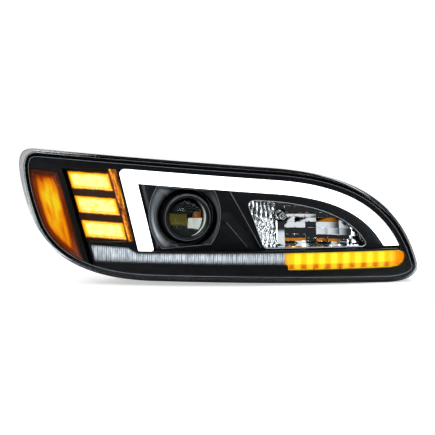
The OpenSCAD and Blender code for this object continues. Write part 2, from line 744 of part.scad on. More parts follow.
// Service caps
module service_cap(p, r) color("#2a2a2d") union() {
    collar_r = r + wall_t;
    skirt_r = collar_r + hook_w + 2 * fit;
    seat = collar_y + cap_seal_t;
    edge = collar_y - cap_skirt;
    turned(p, [[0, seat], [skirt_r, seat], [skirt_r, edge], [skirt_r + 2.5, edge],
        [skirt_r + 2.5, seat + cap_t], [0, seat + cap_t]]);
    along_y(p) for (a = [0, 120, 240]) rotate(a) translate([0, 0, collar_y - 2 - 2 * hook_t])
        rotate_extrude(angle = hook_arc) translate([collar_r + fit, 0])
            square([skirt_r - collar_r + 0.2, hook_t]);
    translate([p.x - 0.7 * r, seat + cap_t - 0.5, p.y - grip_w / 2]) cube([1.4 * r, grip_h + 0.5, grip_w]);
}
module cap_seal(p, r) color("#0f0f10")
    tube(p, collar_y + fit, collar_y + cap_seal_t, r + wall_t - fit, r + fit);

// Aim adjuster
knob_r = 12;
knob_t = 9;
knob_flutes = 12;
hex_r = 5.8;
hex_t = 6;
module adjuster_screw() color("#d8d4c6") union() {
    knob_y = rear_y + wall_t + grommet_lip + fit;
    rod(adjuster, frame_y - 12, knob_y + knob_t, adjuster_r);
    rod(adjuster, rear_y - grommet_lip - 2.5, rear_y - grommet_lip - fit, adjuster_r + 4);
    difference() {
        rod(adjuster, knob_y, knob_y + knob_t, knob_r);
        for (i = [1 : knob_flutes]) let (a = 360 * i / knob_flutes)
            rod(adjuster + (knob_r + 1) * [cos(a), sin(a)], knob_y - 1, knob_y + knob_t + 1, 2);
    }
    along_y(adjuster) translate([0, 0, knob_y + knob_t - 1]) cylinder(r = hex_r, h = hex_t + 1, $fn = 6);
}

housing();
back_plate();
low_port_collar();
high_port_collar();
rear_posts();
pivot_posts();
outer_lens();
lens_seal();
bezel();
beam_mask();
projector_shroud();
running_light_guide();
running_light_board();
running_light_leds();
turn_tray();
turn_lens(0);  // turn_lens_upper
turn_lens(1);  // turn_lens_middle
turn_lens(2);  // turn_lens_lower
turn_board();
turn_leds();
side_marker_lens();
side_marker_tray();
side_marker_board();
side_marker_leds();
clear_strip();
amber_strip();
strip_board();
strip_leds();
led_driver();
driver_screws();
connector_header();
connector_pins();
vent_caps();
mounting_studs();
bezel_screws();
pivot_studs();
adjuster_grommet();
aim_frame();
pivot_sockets();
adjuster_nut();
projector_bowl();
cutoff_shield();
lens_holder();
projector_lens();
lens_ring();
projector_screws();
high_beam_reflector();
reflector_screws();
bulb_base(proj, low_seat_y);  // low_bulb_base
bulb_glass(proj, low_seat_y, 36);  // low_bulb_glass
bulb_base(high, high_seat_y);  // high_bulb_base
bulb_glass(high, high_seat_y, 40);  // high_bulb_glass
service_cap(proj, low_port_r);  // low_beam_cap
cap_seal(proj, low_port_r);  // low_cap_seal
service_cap(high, high_port_r);  // high_beam_cap
cap_seal(high, high_port_r);  // high_cap_seal
adjuster_screw();
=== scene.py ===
import functools
import math

import bmesh
import bpy
import numpy as np
from bpy.props import FloatProperty, FloatVectorProperty, IntProperty, PointerProperty
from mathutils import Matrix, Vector
from mathutils.geometry import delaunay_2d_cdt


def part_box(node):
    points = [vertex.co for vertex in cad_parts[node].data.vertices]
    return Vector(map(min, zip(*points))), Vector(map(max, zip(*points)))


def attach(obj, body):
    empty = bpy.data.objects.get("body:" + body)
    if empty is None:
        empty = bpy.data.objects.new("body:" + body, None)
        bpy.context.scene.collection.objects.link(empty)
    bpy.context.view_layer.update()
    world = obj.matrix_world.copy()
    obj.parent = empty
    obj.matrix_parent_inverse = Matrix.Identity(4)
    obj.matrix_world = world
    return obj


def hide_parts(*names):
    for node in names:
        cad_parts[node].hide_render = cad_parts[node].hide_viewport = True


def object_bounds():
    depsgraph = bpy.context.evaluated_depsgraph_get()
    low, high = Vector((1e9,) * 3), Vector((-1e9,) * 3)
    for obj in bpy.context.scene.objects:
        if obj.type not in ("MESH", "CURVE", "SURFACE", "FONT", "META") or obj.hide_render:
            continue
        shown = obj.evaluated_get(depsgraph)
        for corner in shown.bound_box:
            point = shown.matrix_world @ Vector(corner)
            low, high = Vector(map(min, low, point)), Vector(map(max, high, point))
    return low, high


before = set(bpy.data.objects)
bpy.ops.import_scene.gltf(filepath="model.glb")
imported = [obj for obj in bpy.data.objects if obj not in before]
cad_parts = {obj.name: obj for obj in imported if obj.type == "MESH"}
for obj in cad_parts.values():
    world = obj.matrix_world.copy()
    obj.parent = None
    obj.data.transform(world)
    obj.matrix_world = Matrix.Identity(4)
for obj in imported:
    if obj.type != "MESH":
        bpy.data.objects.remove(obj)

bl_info = {
    "name": "Wrap-around headlight",
    "version": (1, 0, 0),
    "blender": (4, 5, 0),
    "location": "3D View > Sidebar > Headlight",
    "description": "Builds the lens, lamps, trim and finishes of a wrap-around headlight on its CAD frame",
    "category": "Add Mesh",
}

CAD_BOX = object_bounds()
MM = 0.001
BODY, CARRIER, HIGH_BULB = "lamp_body", "beam_carrier", "high_beam_bulb"


def linear(code):
    """Linear colour of an sRGB hex value."""
    parts = [int(code[i:i + 2], 16) / 255 for i in (1, 3, 5)]
    return tuple(c / 12.92 if c <= 0.04045 else ((c + 0.055) / 1.055) ** 2.4 for c in parts)


def rgba(c, k=1.0):
    """A socket's colour from a hex value or a linear colour, k times as bright."""
    return (*[min(1.0, v * k) for v in (linear(c) if isinstance(c, str) else c)], 1.0)


def length(name, millimetres, text):
    return FloatProperty(name=name, description=text, default=millimetres * MM, min=0.0, unit="LENGTH")


def colour(name, code, text):
    return FloatVectorProperty(name=name, description=text, default=linear(code), size=3, min=0.0, max=1.0,
                               subtype="COLOR")


def strength(name, value, text):
    return FloatProperty(name=name, description=text, default=value, min=0.0)


class HeadlightSizes(bpy.types.PropertyGroup):
    """Sizes of the detail that the looks add to the frame."""
    lens_edge: length("Lens edge", 7.0, "Radius of the outer lens's rounded edge")
    gloss_band: length("Gloss band", 5.0, "Width of the polished band round the bezel")
    bezel_fillet: length("Bezel fillet", 1.2, "Radius of the bezel's window edges")
    bezel_fall: length("Bezel fall", 1.0, "How far the bezel slopes in towards the windows")
    cell_flute: length("Cell flute", 2.2, "Width of one flute on a turn signal cell")
    strip_prism: length("Strip prism", 3.4, "Width of one prism on the turn strip")
    wave: length("Reflector wave", 7.5, "Width of one wave on the outboard side of the reflector")
    pane: length("Reflector pane", 17.5, "Width of one flat pane on the inboard side of the reflector")
    soft_edge: length("Soft edge", 0.5, "Radius of the moulded edges at the back")
    strip_spots: IntProperty(name="Strip spots", description="Bright spots along the lit strip", default=10,
                             min=1)


class HeadlightColours(bpy.types.PropertyGroup):
    """Colours and strengths of the lamps, and colours of the black plastics."""
    running: colour("Running light", "#F6F9FF", "Colour of the lit running light")
    cell: colour("Turn signal", "#FDF6A6", "Colour in the middle of a lit turn signal cell")
    marker: colour("Side marker", "#FFD820", "Colour of the side marker where its lamps shine through")
    strip: colour("Turn strip", "#FFF63C", "Colour of the bright spots along the lit strip")
    gloss: colour("Gloss black", "#060607", "Polished band of the bezel")
    satin: colour("Satin black", "#101012", "Textured bezel and mask")
    casing: colour("Casing", "#1A1B1D", "Moulded housing and caps")
    running_level: strength("Running level", 3.0, "Strength of the running light")
    amber_level: strength("Amber level", 2.0, "Strength of the turn signals")


def sizes():
    return bpy.context.scene.headlight_sizes


def colours():
    return bpy.context.scene.headlight_colours


# Flat shapes, in millimetres: x towards the nose, z up. Every closed loop runs clockwise.
LENS_T = 3.0
LENS_FRONT, LENS_BOW = -225.0, 900.0
SEAM_FRONT, SEAM_BOW = -190.0, 720.0
BOW_X = 120.0
LEG_TOP, LEG_LEAN, LEG_W = (-171.0, 78.0), 13.0, 25.0
CELL_TOP, CELL_LEAN, CELL_W, CELL_H = (-252.0, 81.0), 15.0, 64.0, 27.0
CELL_STEP, CELL_FALL = 40.0, 4.0
BEAM_LOW = -47.5
RUN_IN, RUN_W = 18.5, 22.0
STRIP_SPLIT = 95.0
PROJ, HIGH = (-61.0, 6.0), (108.0, 2.0)
SHROUD, SHROUD_R, SHROUD_ARC = (-65.4, 11.0), 58.0, 27.5
SHARP_CORNER, SIDE_SHARE = 0.3, 0.45


def cubic(a, b, c, d, n=40):
    t = np.linspace(0, 1, n, endpoint=False)[:, None]
    a, b, c, d = (np.array(v, float) for v in (a, b, c, d))
    return (1 - t) ** 3 * a + 3 * (1 - t) ** 2 * t * b + 3 * (1 - t) * t * t * c + t ** 3 * d


def resample(points, step):
    """The closed loop with its points at even steps."""
    p = np.vstack([points, points[:1]])
    run = np.concatenate([[0], np.cumsum(np.linalg.norm(np.diff(p, axis=0), axis=1))])
    t = np.linspace(0, run[-1], max(3, round(run[-1] / step)) + 1)[:-1]
    return np.column_stack([np.interp(t, run, p[:, 0]), np.interp(t, run, p[:, 1])])


def lens_outline():
    corner_top, shoulder, nose, heel = (-300, 115), (83, 86), (325, -78), (270.4, -104)
    sweep_low, sweep_high, corner_low = (-125, -96), (-303, -9), (-325, 85)
    return resample(np.vstack([
        [corner_top],
        cubic(shoulder, (179.8, 78), (287.5, 48.3), nose),
        cubic(nose, (325, -96.2), (302.9, -104), heel),
        [heel],
        cubic(sweep_low, (-209, -93), (-274, -71.7), sweep_high),
        cubic(sweep_high, (-313, 17), (-324, 55), corner_low),
        cubic(corner_low, (-325, 105), (-319, 115), corner_top)]), 5.0)


def inset(loop, d):
    """The loop moved inwards by d, or outwards where d is negative."""
    before, after = loop - np.roll(loop, 1, 0), np.roll(loop, -1, 0) - loop
    before /= np.linalg.norm(before, axis=1)[:, None]
    after /= np.linalg.norm(after, axis=1)[:, None]
    n0, n1 = (np.column_stack([e[:, 1], -e[:, 0]]) for e in (before, after))
    mid = n0 + n1
    mid /= np.linalg.norm(mid, axis=1)[:, None]
    sharpest = 0.4
    reach = 1 / np.maximum(sharpest, (mid * n1).sum(1))
    return loop + d * mid * reach[:, None]


def cut(points, a, b, closed=True):
    """What lies to the right of the line from a to b."""
    points = np.asarray(points, float)
    side = (b[0] - a[0]) * (points[:, 1] - a[1]) - (b[1] - a[1]) * (points[:, 0] - a[0])
    kept = []
    for i in range(len(points)):
        if i or closed:
            s, t = side[i - 1], side[i]
            if (s <= 0) != (t <= 0):
                kept.append(points[i - 1] + (points[i] - points[i - 1]) * s / (s - t))
        if side[i] <= 0:
            kept.append(points[i])
    return np.array(kept)


def leaning(p, lean, z):
    """Where a line through p reaches the height z, leaning towards the nose as it goes down."""
    return p[0] + (p[1] - z) * math.tan(math.radians(lean)), z


def lean_line(p, lean, shift=0.0):
    """Two far points of a leaning line, the low one first."""
    return [(x + shift, z) for x, z in (leaning(p, lean, -400.0), leaning(p, lean, 400.0))]


def past_line(points, p, lean):
    """How far inboard of a leaning line flat points lie."""
    points = np.asarray(points, float)
    return points[:, 0] - p[0] - (p[1] - points[:, 1]) * math.tan(math.radians(lean))


def above(z):
    return (1000.0, z), (-1000.0, z)


def rounded(loop, r, steps=5):
    """The loop with each sharp corner turned on an arc of about radius r."""
    loop = np.asarray(loop, float)
    made = []
    for i in range(len(loop)):
        p, a, b = loop[i], loop[i - 1], loop[(i + 1) % len(loop)]
        u, v = a - p, b - p
        lu, lv = np.linalg.norm(u), np.linalg.norm(v)
        if min(lu, lv) < 1e-6:
            continue
        turn = math.pi - math.acos(np.clip(u @ v / lu / lv, -1, 1))
        if turn < SHARP_CORNER:
            made.append(p)
            continue
        back = min(r * math.tan(turn / 2), SIDE_SHARE * lu, SIDE_SHARE * lv)
        p0, p1 = p + u / lu * back, p + v / lv * back
        made += [(1 - t) ** 2 * p0 + 2 * (1 - t) * t * p + t * t * p1 for t in np.linspace(0, 1, steps)]
    return np.array(made)


def divided(loop, step):
    """The same loop with points added along its long sides."""
    made = []
    for a, b in zip(loop, np.roll(loop, -1, 0)):
        n = max(1, int(np.linalg.norm(b - a) / step))
        made += [a + (b - a) * k / n for k in range(n)]
    return np.array(made)


def tidy_loop(points, r, step):
    """A clockwise loop of a few corner points, rounded and evenly divided."""
    p = rounded(points, r)
    area = (p[:, 0] * np.roll(p[:, 1], -1) - np.roll(p[:, 0], -1) * p[:, 1]).sum()
    return divided(p if area < 0 else p[::-1], step)


def circle(centre, r, n, way=1):
    """Flat points round a circle, clockwise where way is -1."""
    a = way * np.linspace(0, 2 * math.pi, n, endpoint=False)
    return np.column_stack([np.cos(a), np.sin(a)]) * r + centre


def inside(points, loop):
    x, z = np.asarray(points, float).T
    hit = np.zeros(len(x), bool)
    for (x0, z0), (x1, z1) in zip(loop, np.roll(loop, -1, 0)):
        if z0 != z1:
            hit ^= ((z0 > z) != (z1 > z)) & (x < (x1 - x0) * (z - z0) / (z1 - z0) + x0)
    return hit


def gap_to(points, loop, closed=True):
    """Distance of each point from a line of points."""
    points, a = np.asarray(points, float), np.asarray(loop, float)
    b = np.roll(a, -1, 0)
    if not closed:
        a, b = a[:-1], b[:-1]
    best = np.full(len(points), np.inf)
    for p, q in zip(a, b):
        d = q - p
        t = np.clip(((points - p) @ d) / max(d @ d, 1e-9), 0, 1)
        best = np.minimum(best, np.linalg.norm(points - p - t[:, None] * d, axis=1))
    return best


def fill(outer, holes=(), step=8.0, creases=(), points=None):
    """Flat points and triangles inside a loop, clear of its holes, with edges along its creases."""
    loops, from_edge, from_crease, thin = [outer, *holes], 0.45 * step, 0.3 * step, 0.003
    lo, hi = outer.min(0), outer.max(0)
    row_step = 0.87 * step
    rows = np.arange(lo[1], hi[1], row_step)
    grid = np.array([(x + step / 2 * (k % 2), z) for k, z in enumerate(rows)
                     for x in np.arange(lo[0], hi[0], step)]) if points is None else points
    keep = inside(grid, outer) & (gap_to(grid, outer) > from_edge)
    for h in holes:
        keep &= ~inside(grid, h) & (gap_to(grid, h) > from_edge)
    for c in creases:
        keep &= gap_to(grid, c, False) > from_crease
    edges, start = [], 0
    for loop, closed in [(v, True) for v in loops] + [(c, False) for c in creases]:
        n = len(loop)
        edges += [(start + i, start + (i + 1) % n) for i in range(n if closed else n - 1)]
        start += n
    every = np.vstack([*loops, *creases, grid[keep]])
    flat, _, tris, *_ = delaunay_2d_cdt([Vector(p) for p in every], edges, [], 0, 1e-6)
    flat, tris = np.array(flat), np.array([t for t in tris if len(t) == 3])
    mid = flat[tris].mean(1)
    u, v = flat[tris[:, 1]] - flat[tris[:, 0]], flat[tris[:, 2]] - flat[tris[:, 0]]
    area = np.abs(u[:, 0] * v[:, 1] - u[:, 1] * v[:, 0])
    sliver = area <= thin * np.maximum((u ** 2).sum(1), (v ** 2).sum(1))
    ok = inside(mid, outer) & ~sliver
    for h in holes:
        ok &= ~inside(mid, h)
    return flat, tris[ok]


def bow(p, face, radius):
    """Rearward places of flat points on a bowed face."""
    p = np.asarray(p, float)
    return face + radius - np.sqrt(radius ** 2 - (p[..., 0] - BOW_X) ** 2 - p[..., 1] ** 2)


def at(loop, y):
    """Points of the frame at flat points, with their rearward places."""
    loop = np.asarray(loop, float)
    return np.column_stack([loop[:, 0], np.broadcast_to(y, len(loop)), loop[:, 1]])


def layer(loop, d):
    """Points of the frame at flat points, d behind the lens's bowed front."""
    return at(loop, bow(loop, LENS_FRONT + d, LENS_BOW))


def round_over(loop, r, depth, steps, start=0.0):
    """Loops from a wall over a rounded edge of radius r to the face inside it."""
    return [layer(inset(loop, start + r * (1 - math.cos(a))), depth + r * (1 - math.sin(a)))
            for a in np.linspace(0, math.pi / 2, steps)]


def round_in(loop, r, depth, steps):
    """Loops from the face round a window over a rounded edge of radius r to the window's wall."""
    return [layer(inset(loop, -r * (1 - math.sin(a))), depth + r * (1 - math.cos(a)))
            for a in np.linspace(0, math.pi / 2, steps)]


OUTLINE = lens_outline()
MARKER_TOP, MARKER_FAR = (-269, 80), (-345, 89)
MARKER = tidy_loop(cut(cut(inset(OUTLINE, 11.0), *lean_line(MARKER_TOP, CELL_LEAN)[::-1]),
                       MARKER_FAR, MARKER_TOP), 3.0, 5.0)
BEAM = tidy_loop(cut(cut(inset(OUTLINE, RUN_IN - 0.3), *lean_line(LEG_TOP, LEG_LEAN, -0.3)),
                     *above(BEAM_LOW - 0.3)), 1.5, 5.0)
TURN_SIDE, TURN_FOOT, TURN_LEG = (-260.5, 81), (-253.5, 81), (-175, 78)
TURN = tidy_loop([leaning(TURN_SIDE, CELL_LEAN, 86.0), leaning(TURN_LEG, LEG_LEAN, 86.0),
                  leaning(TURN_LEG, LEG_LEAN, -32.0), leaning(TURN_FOOT, CELL_LEAN, -33.0),
                  leaning(TURN_FOOT, CELL_LEAN, -70.0), leaning(TURN_SIDE, CELL_LEAN, -70.0)], 0.8, 5.0)
STRIP = tidy_loop([(-218, -38), (-158, -42), (-144, -51), (291, -51), (301, -55), (303, -63), (300, -72),
                   (291, -78), (277, -80), (99, -80), (99, -71), (-210.5, -66)], 3.0, 5.0)
RUN_OUTER = cut(cut(inset(OUTLINE, RUN_IN), *lean_line(LEG_TOP, LEG_LEAN), False),
                *above(BEAM_LOW + 4), False)
RUN_INNER = cut(cut(inset(OUTLINE, RUN_IN + RUN_W), *lean_line(LEG_TOP, LEG_LEAN, LEG_W), False),
                *above(BEAM_LOW + 4), False)
LEG_FOOT = leaning(LEG_TOP, LEG_LEAN, BEAM_LOW)
LEG_HEEL = (LEG_FOOT[0] + LEG_W, BEAM_LOW)
LEG_CORNER = rounded([LEG_FOOT, RUN_OUTER[0], RUN_OUTER[12]], 12.0, 9)[9:18]
RUNNING = tidy_loop(np.vstack([LEG_CORNER, RUN_OUTER[RUN_OUTER[:, 0] > LEG_CORNER[-1][0] + 2],
                               RUN_INNER[::-1], [LEG_HEEL, LEG_FOOT]]), 4.0, 4.0)
MASK = tidy_loop(np.vstack([RUN_INNER, [(RUN_INNER[-1][0] + 4, BEAM_LOW), LEG_HEEL]]), 1.0, 4.0)
WINDOW = tidy_loop(np.vstack([[(62.9, -44), (232, -44)],
                              cubic((236, -40), (213, 2), (150, 30), (48, 34), 30),
                              cubic((48, 34), (40, 34.3), (35, 30), (38.6, 22), 8)]), 8.0, 4.0)


def cell_flutes():
    return round(CELL_W * MM / sizes().cell_flute)


def cell_corners(i):
    """Top outboard corner of a turn signal cell, and its way across and down."""
    a = np.array(leaning(CELL_TOP, CELL_LEAN, CELL_TOP[1] - CELL_STEP * i))
    down = np.array([CELL_H * math.tan(math.radians(CELL_LEAN)), -CELL_H])
    return a, np.array([CELL_W, -CELL_FALL]), down


class Shell:
    """Collects the points and faces of one piece, in millimetres."""

    def __init__(self):
        self.points, self.faces, self.marks, self.values = [], [], [], []
        self.count = 0

    def add(self, points, faces, mark=0, values=None):
        """Mark is the number of the finish, values are what it reads across and down the piece."""
        points = np.asarray(points, float).reshape(-1, 3)
        self.points.append(points)
        self.values.append(np.zeros((len(points), 2)) if values is None else np.asarray(values, float))
        marks = mark if hasattr(mark, "__len__") else [mark] * len(faces)
        self.faces += [[int(v) + self.count for v in f] for f in faces]
        self.marks += [int(m) for m in marks]
        self.count += len(points)

    def strip(self, loops, mark=0, closed=True, values=None):
        """Faces between one loop and the next."""
        n = len(loops[0])
        span = n if closed else n - 1
        faces = [(k * n + i, k * n + (i + 1) % n, (k + 1) * n + (i + 1) % n, (k + 1) * n + i)
                 for k in range(len(loops) - 1) for i in range(span)]
        self.add(np.vstack(loops), faces, mark, values)

    def lathe(self, centre, profile, mark=0, n=96):
        """A turned form about an axis along Y, from its radius and place pairs."""
        self.strip([at(circle(centre, r, n), y) for r, y in profile], mark)


def piece(name, shell, body, finishes, stands_for=(), crease=35.0, wall=0.0):
    """Makes the object, rides it on its body and hides the CAD nodes that it stands for."""
    mesh = bpy.data.meshes.new(name)
    mesh.from_pydata((np.vstack(shell.points) * MM).tolist(), [], shell.faces)
    mesh.polygons.foreach_set("material_index", shell.marks)
    for k, key in enumerate(("across", "down")):
        held = mesh.attributes.new(key, "FLOAT", "POINT")
        held.data.foreach_set("value", np.vstack(shell.values)[:, k].astype(np.float32))
    bm = bmesh.new()
    bm.from_mesh(mesh)
    bmesh.ops.remove_doubles(bm, verts=bm.verts, dist=0.02 * MM)
    bmesh.ops.dissolve_degenerate(bm, dist=0.001 * MM, edges=bm.edges)
    bmesh.ops.recalc_face_normals(bm, faces=bm.faces)
    open_sheet = any(e.is_boundary for e in bm.edges)
    if open_sheet and sum(f.normal.y * f.calc_area() for f in bm.faces) > 0:
        bmesh.ops.reverse_faces(bm, faces=bm.faces)
    bm.to_mesh(mesh)
    bm.free()
    mesh.polygons.foreach_set("use_smooth", [True] * len(mesh.polygons))
    mesh.set_sharp_from_angle(angle=math.radians(crease))
    for f in finishes:
        mesh.materials.append(f)
    obj = bpy.data.objects.new(name, mesh)
    bpy.context.scene.collection.objects.link(obj)
    if wall:
        solid = obj.modifiers.new("wall", "SOLIDIFY")
        solid.thickness, solid.offset = wall * MM, -1.0
    obj.modifiers.new("normals", "WEIGHTED_NORMAL").keep_sharp = True
    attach(obj, body)
    if stands_for:
        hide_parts(*stands_for)


# Settings that many nodes share
SMOOTH = {"interpolation_type": "SMOOTHSTEP"}
COLOUR = {"data_type": "RGBA", "out": 2}
TIMES, TIMES_PLUS = {"operation": "MULTIPLY"}, {"operation": "MULTIPLY_ADD"}
GREATER = {"operation": "MAXIMUM"}


def add(tree, kind, inputs=None, out=0, stops=(), **settings):
    """Adds a node with its settings and links, and gives back one of its outputs.

    Inputs are values, hex colours or outputs to link. Stops are a colour ramp's places and colours.
    """
    node = tree.nodes.new(kind if "Node" in kind else "ShaderNode" + kind)
    for key, value in settings.items():
        setattr(node, key, value)
    if stops:
        bar = node.color_ramp.elements
        bar.remove(bar[1])
        bar[0].position, bar[0].color = stops[0][0], rgba(stops[0][1])
        for place, tint in stops[1:]:
            bar.new(place).color = rgba(tint)
    for key, value in (inputs or {}).items():
        if isinstance(value, bpy.types.NodeSocket):
            tree.links.new(value, node.inputs[key])
        else:
            hexed = isinstance(value, str) and value.startswith("#")
            node.inputs[key].default_value = rgba(value) if hexed else value
    return node.outputs[out] if len(node.outputs) else None


def material(name, build, *given):
    """The material of a name. A function adds its nodes with put and gives back its shader."""
    if name in bpy.data.materials:
        return bpy.data.materials[name]
    mat = bpy.data.materials.new(name)
    mat.use_nodes = True
    mat.node_tree.nodes.clear()
    put = functools.partial(add, mat.node_tree)
    put("OutputMaterial", {"Surface": build(put, *given)})
    return mat


# Solid finishes: grain and relief in millimetres, mottle and spread as shares of colour and roughness.
# A base without a hash is one of the panel's colours.
USUAL = {"mottle": 0.15, "spread": 0.08, "metallic": 0.0, "shine": 0.5}
BROAD_PATCH = 45.0
SOLID = {
    # Polished ABS: mirror-like black with a faint moulding ripple
    "polished_black_abs": dict(base="gloss", rough=0.08, grain=6.0, relief=0.01, mottle=0.2, spread=0.04,
                               shine=0.3),
    # Spark-textured PC-ABS: even dark satin. The 0.15 mm texture is drawn at 0.8 mm so that it shows
    "spark_textured_pc_abs": dict(base="satin", rough=0.38, grain=0.8, relief=0.003, shine=0.18),
    # Semi-gloss PC-ABS of the ring and the gutter beside the running light: near black, soft highlights
    "semi_gloss_pc_abs": dict(base="#0B0B0C", rough=0.32, grain=2.0, relief=0.004, spread=0.04, shine=0.35),
    # Edges of the black trim, painted pale grey where they turn: a painted highlight of the light they catch
    "polished_trim_edge": dict(base="#8C8E93", rough=0.3, grain=1.5, relief=0.004, mottle=0.25, spread=0.05),
    # Chromed lip round the high beam's window: a thin bright line
    "chromed_abs_lip": dict(base="#DADCDF", rough=0.3, grain=1.5, relief=0.004, mottle=0.2, metallic=0.3,
                            spread=0.05),
    # Talc-filled polypropylene, grained: dull black. The 0.3 mm grain is drawn at 1.2 mm so that it shows
    "grained_polypropylene": dict(base="casing", rough=0.55, grain=1.2, relief=0.08, mottle=0.25),
    # Vacuum-metallised thermoset: a mirror with a faint lacquer haze
    "vacuum_metallised_thermoset": dict(base="#F5F6F7", rough=0.06, grain=4.0, relief=0.004, mottle=0.04,
                                        metallic=1.0, spread=0.03),
    # The mirror's narrow steps, tinted amber: a painted reflection of the lit strip below them
    "vacuum_metallised_steps": dict(base="#D9862A", rough=0.1, grain=5.0, relief=0.01, mottle=0.5,
                                    metallic=1.0, spread=0.05),
    # Dark amber ABS ribs between the cells
    "dark_amber_abs": dict(base="#3A1C0A", rough=0.35, grain=4.0, relief=0.05, mottle=0.4),
    # Black-oxide steel of the cut-off shield: dull, nearly black
    "black_oxide_steel": dict(base="#141414", rough=0.45, grain=1.5, relief=0.01, mottle=0.3, metallic=0.4),
    # Butyl sealant: dull, slightly lumpy black
    "butyl_sealant": dict(base="#0D0D0E", rough=0.6, grain=2.5, relief=0.2, mottle=0.2),
    # Die-cast aluminium: grey, with the fine frosting of a blasted casting drawn at 0.8 mm so that it shows
    "die_cast_aluminium": dict(base="#9A9DA1", rough=0.42, grain=0.8, relief=0.05, mottle=0.12, metallic=1.0),
    # Zinc-plated steel: pale metal, faintly clouded
    "zinc_plated_steel": dict(base="#C4C6C8", rough=0.28, grain=0.6, relief=0.01, mottle=0.1, metallic=1.0),
    # Moulded EPDM rubber: dull black
    "moulded_epdm": dict(base="#121213", rough=0.7, grain=1.6, relief=0.06, mottle=0.2),
    # Natural nylon: warm white, faintly mottled
    "natural_nylon": dict(base="#D9D4C4", rough=0.42, grain=2.0, relief=0.02, mottle=0.06),
    # Tin-plated brass terminals: pale yellow metal
    "plated_brass": dict(base="#C9A958", rough=0.25, grain=0.5, relief=0.01, mottle=0.12, metallic=1.0),
    # Glass-epoxy board under green solder mask: smooth dark green
    "solder_masked_board": dict(base="#1F4D2C", rough=0.35, grain=1.5, relief=0.02, mottle=0.2),
    # Phosphor over the light source: pale yellow
    "led_phosphor": dict(base="#EFE3A0", rough=0.3, grain=0.8, relief=0.02, mottle=0.1),
    # Glass-filled nylon: dark grey with pale fibre flecks
    "glass_filled_nylon": dict(base="#3A3D41", rough=0.5, grain=0.8, relief=0.04, mottle=0.25),
    # Bowl mirror behind the lens, darkened to a painted shade: dark and hazy
    "shaded_bowl_mirror": dict(base="#1C1D1E", rough=0.4, grain=6.0, relief=0.02, mottle=0.3, metallic=1.0),
    # Black-anodised aluminium of the lens holder: dark satin metal
    "black_anodised_aluminium": dict(base="#1D1E20", rough=0.35, grain=0.7, relief=0.02, mottle=0.2,
                                     metallic=0.6),
    # Moulded bulb base: dark grey plastic
    "moulded_bulb_base": dict(base="#26272A", rough=0.45, grain=1.2, relief=0.04, mottle=0.2),
}


def solid(put, look):
    base, rough, spread, mottle = (look[k] for k in ("base", "rough", "spread", "mottle"))
    base = linear(base) if base.startswith("#") else getattr(colours(), base)
    where = put("TexCoord", out="Object")
    fine = put("TexNoise", {"Vector": where, "Scale": 1000 / look["grain"], "Detail": 3.0, "Roughness": 0.55})
    broad = put("TexNoise", {"Vector": where, "Scale": 1000 / BROAD_PATCH, "Detail": 2.0})
    tone = put("Math", {0: fine, 1: broad, 2: 0.2}, **TIMES_PLUS)
    tint = put("Mix", {0: tone, 6: rgba(base, 1 - mottle), 7: rgba(base, 1 + mottle)}, **COLOUR)
    polish = put("MapRange", {"Value": tone, "To Min": max(0.02, rough - spread),
                              "To Max": min(1.0, rough + spread)})
    bump = put("Bump", {"Height": fine, "Strength": 0.5, "Distance": look["relief"] * MM})
    return put("BsdfPrincipled", {"Base Color": tint, "Roughness": polish, "Normal": bump,
                                  "Metallic": look["metallic"], "Specular IOR Level": look["shine"]})


def surface(name):
    """A finish of the table of solid finishes."""
    return material(name, solid, {**USUAL, **SOLID[name]})


def black_chrome(put):
    # Semi-gloss PC-ABS, black-chromed on the wings beside the lens: a soft bright band between black edges
    where = put("TexCoord", out="Object")
    share = put("Attribute", out="Fac", attribute_name="across")
    fine = put("TexNoise", {"Vector": where, "Scale": 1000 / 2.0, "Detail": 3.0})
    rough = put("MapRange", {"Value": fine, "To Min": 0.28, "To Max": 0.38})
    tint = put("Mix", {0: share, 6: "#0A0A0B", 7: "#B4B6BA"}, **COLOUR)
    return put("BsdfPrincipled", {"Base Color": tint, "Metallic": share, "Roughness": rough,
                                  "Specular IOR Level": 0.25})


def clear_polycarbonate(put):
    # Hard-coated polycarbonate: clear in front, with a pale skirt at its outboard corner and a dark border of
    # painted shade, deeper inboard, standing in for the black parts seen through its thick edge
    where = put("TexCoord", out="Object")
    ripple = put("TexNoise", {"Vector": where, "Scale": 1000 / 30.0, "Detail": 1.0})
    bump = put("Bump", {"Height": ripple, "Strength": 0.1, "Distance": 0.05 * MM})
    facing = put("LayerWeight", {"Blend": 0.5, "Normal": bump}, out="Facing")
    place = put("SeparateXYZ", {"Vector": where}, out="X")
    inboard = put("MapRange", {"Value": place, "From Min": -0.31, "From Max": -0.2})
    pale = put("MapRange", {"Value": facing, "From Min": 0.3, "From Max": 0.6, "To Max": 0.45}, **SMOOTH)
    share = put("Mix", {0: inboard, 2: pale, 3: 0.0}, data_type="FLOAT")
    gloss = put("BsdfPrincipled", {"Base Color": "#EDF1F4", "Roughness": 0.03, "Normal": bump,
                                   "Metallic": 1.0})
    skirt = put("ValToRGB", {"Fac": facing},
                stops=((0.0, "#F8FAFB"), (0.55, "#F0F2F4"), (0.9, "#C9CED4"), (0.955, "#1E2024")))
    # Painted shade: the clear tint darkens at grazing, more so inboard towards the nose
    border = put("MapRange", {"Value": facing, "From Min": 0.55, "From Max": 0.88, "To Min": 1.0,
                              "To Max": 0.06}, **SMOOTH)
    tint = put("Mix", {0: inboard, 6: skirt, 7: border}, blend_type="MULTIPLY", **COLOUR)
    clear = put("BsdfTransparent", {"Color": tint})
    return put("MixShader", {0: share, 1: clear, 2: gloss})


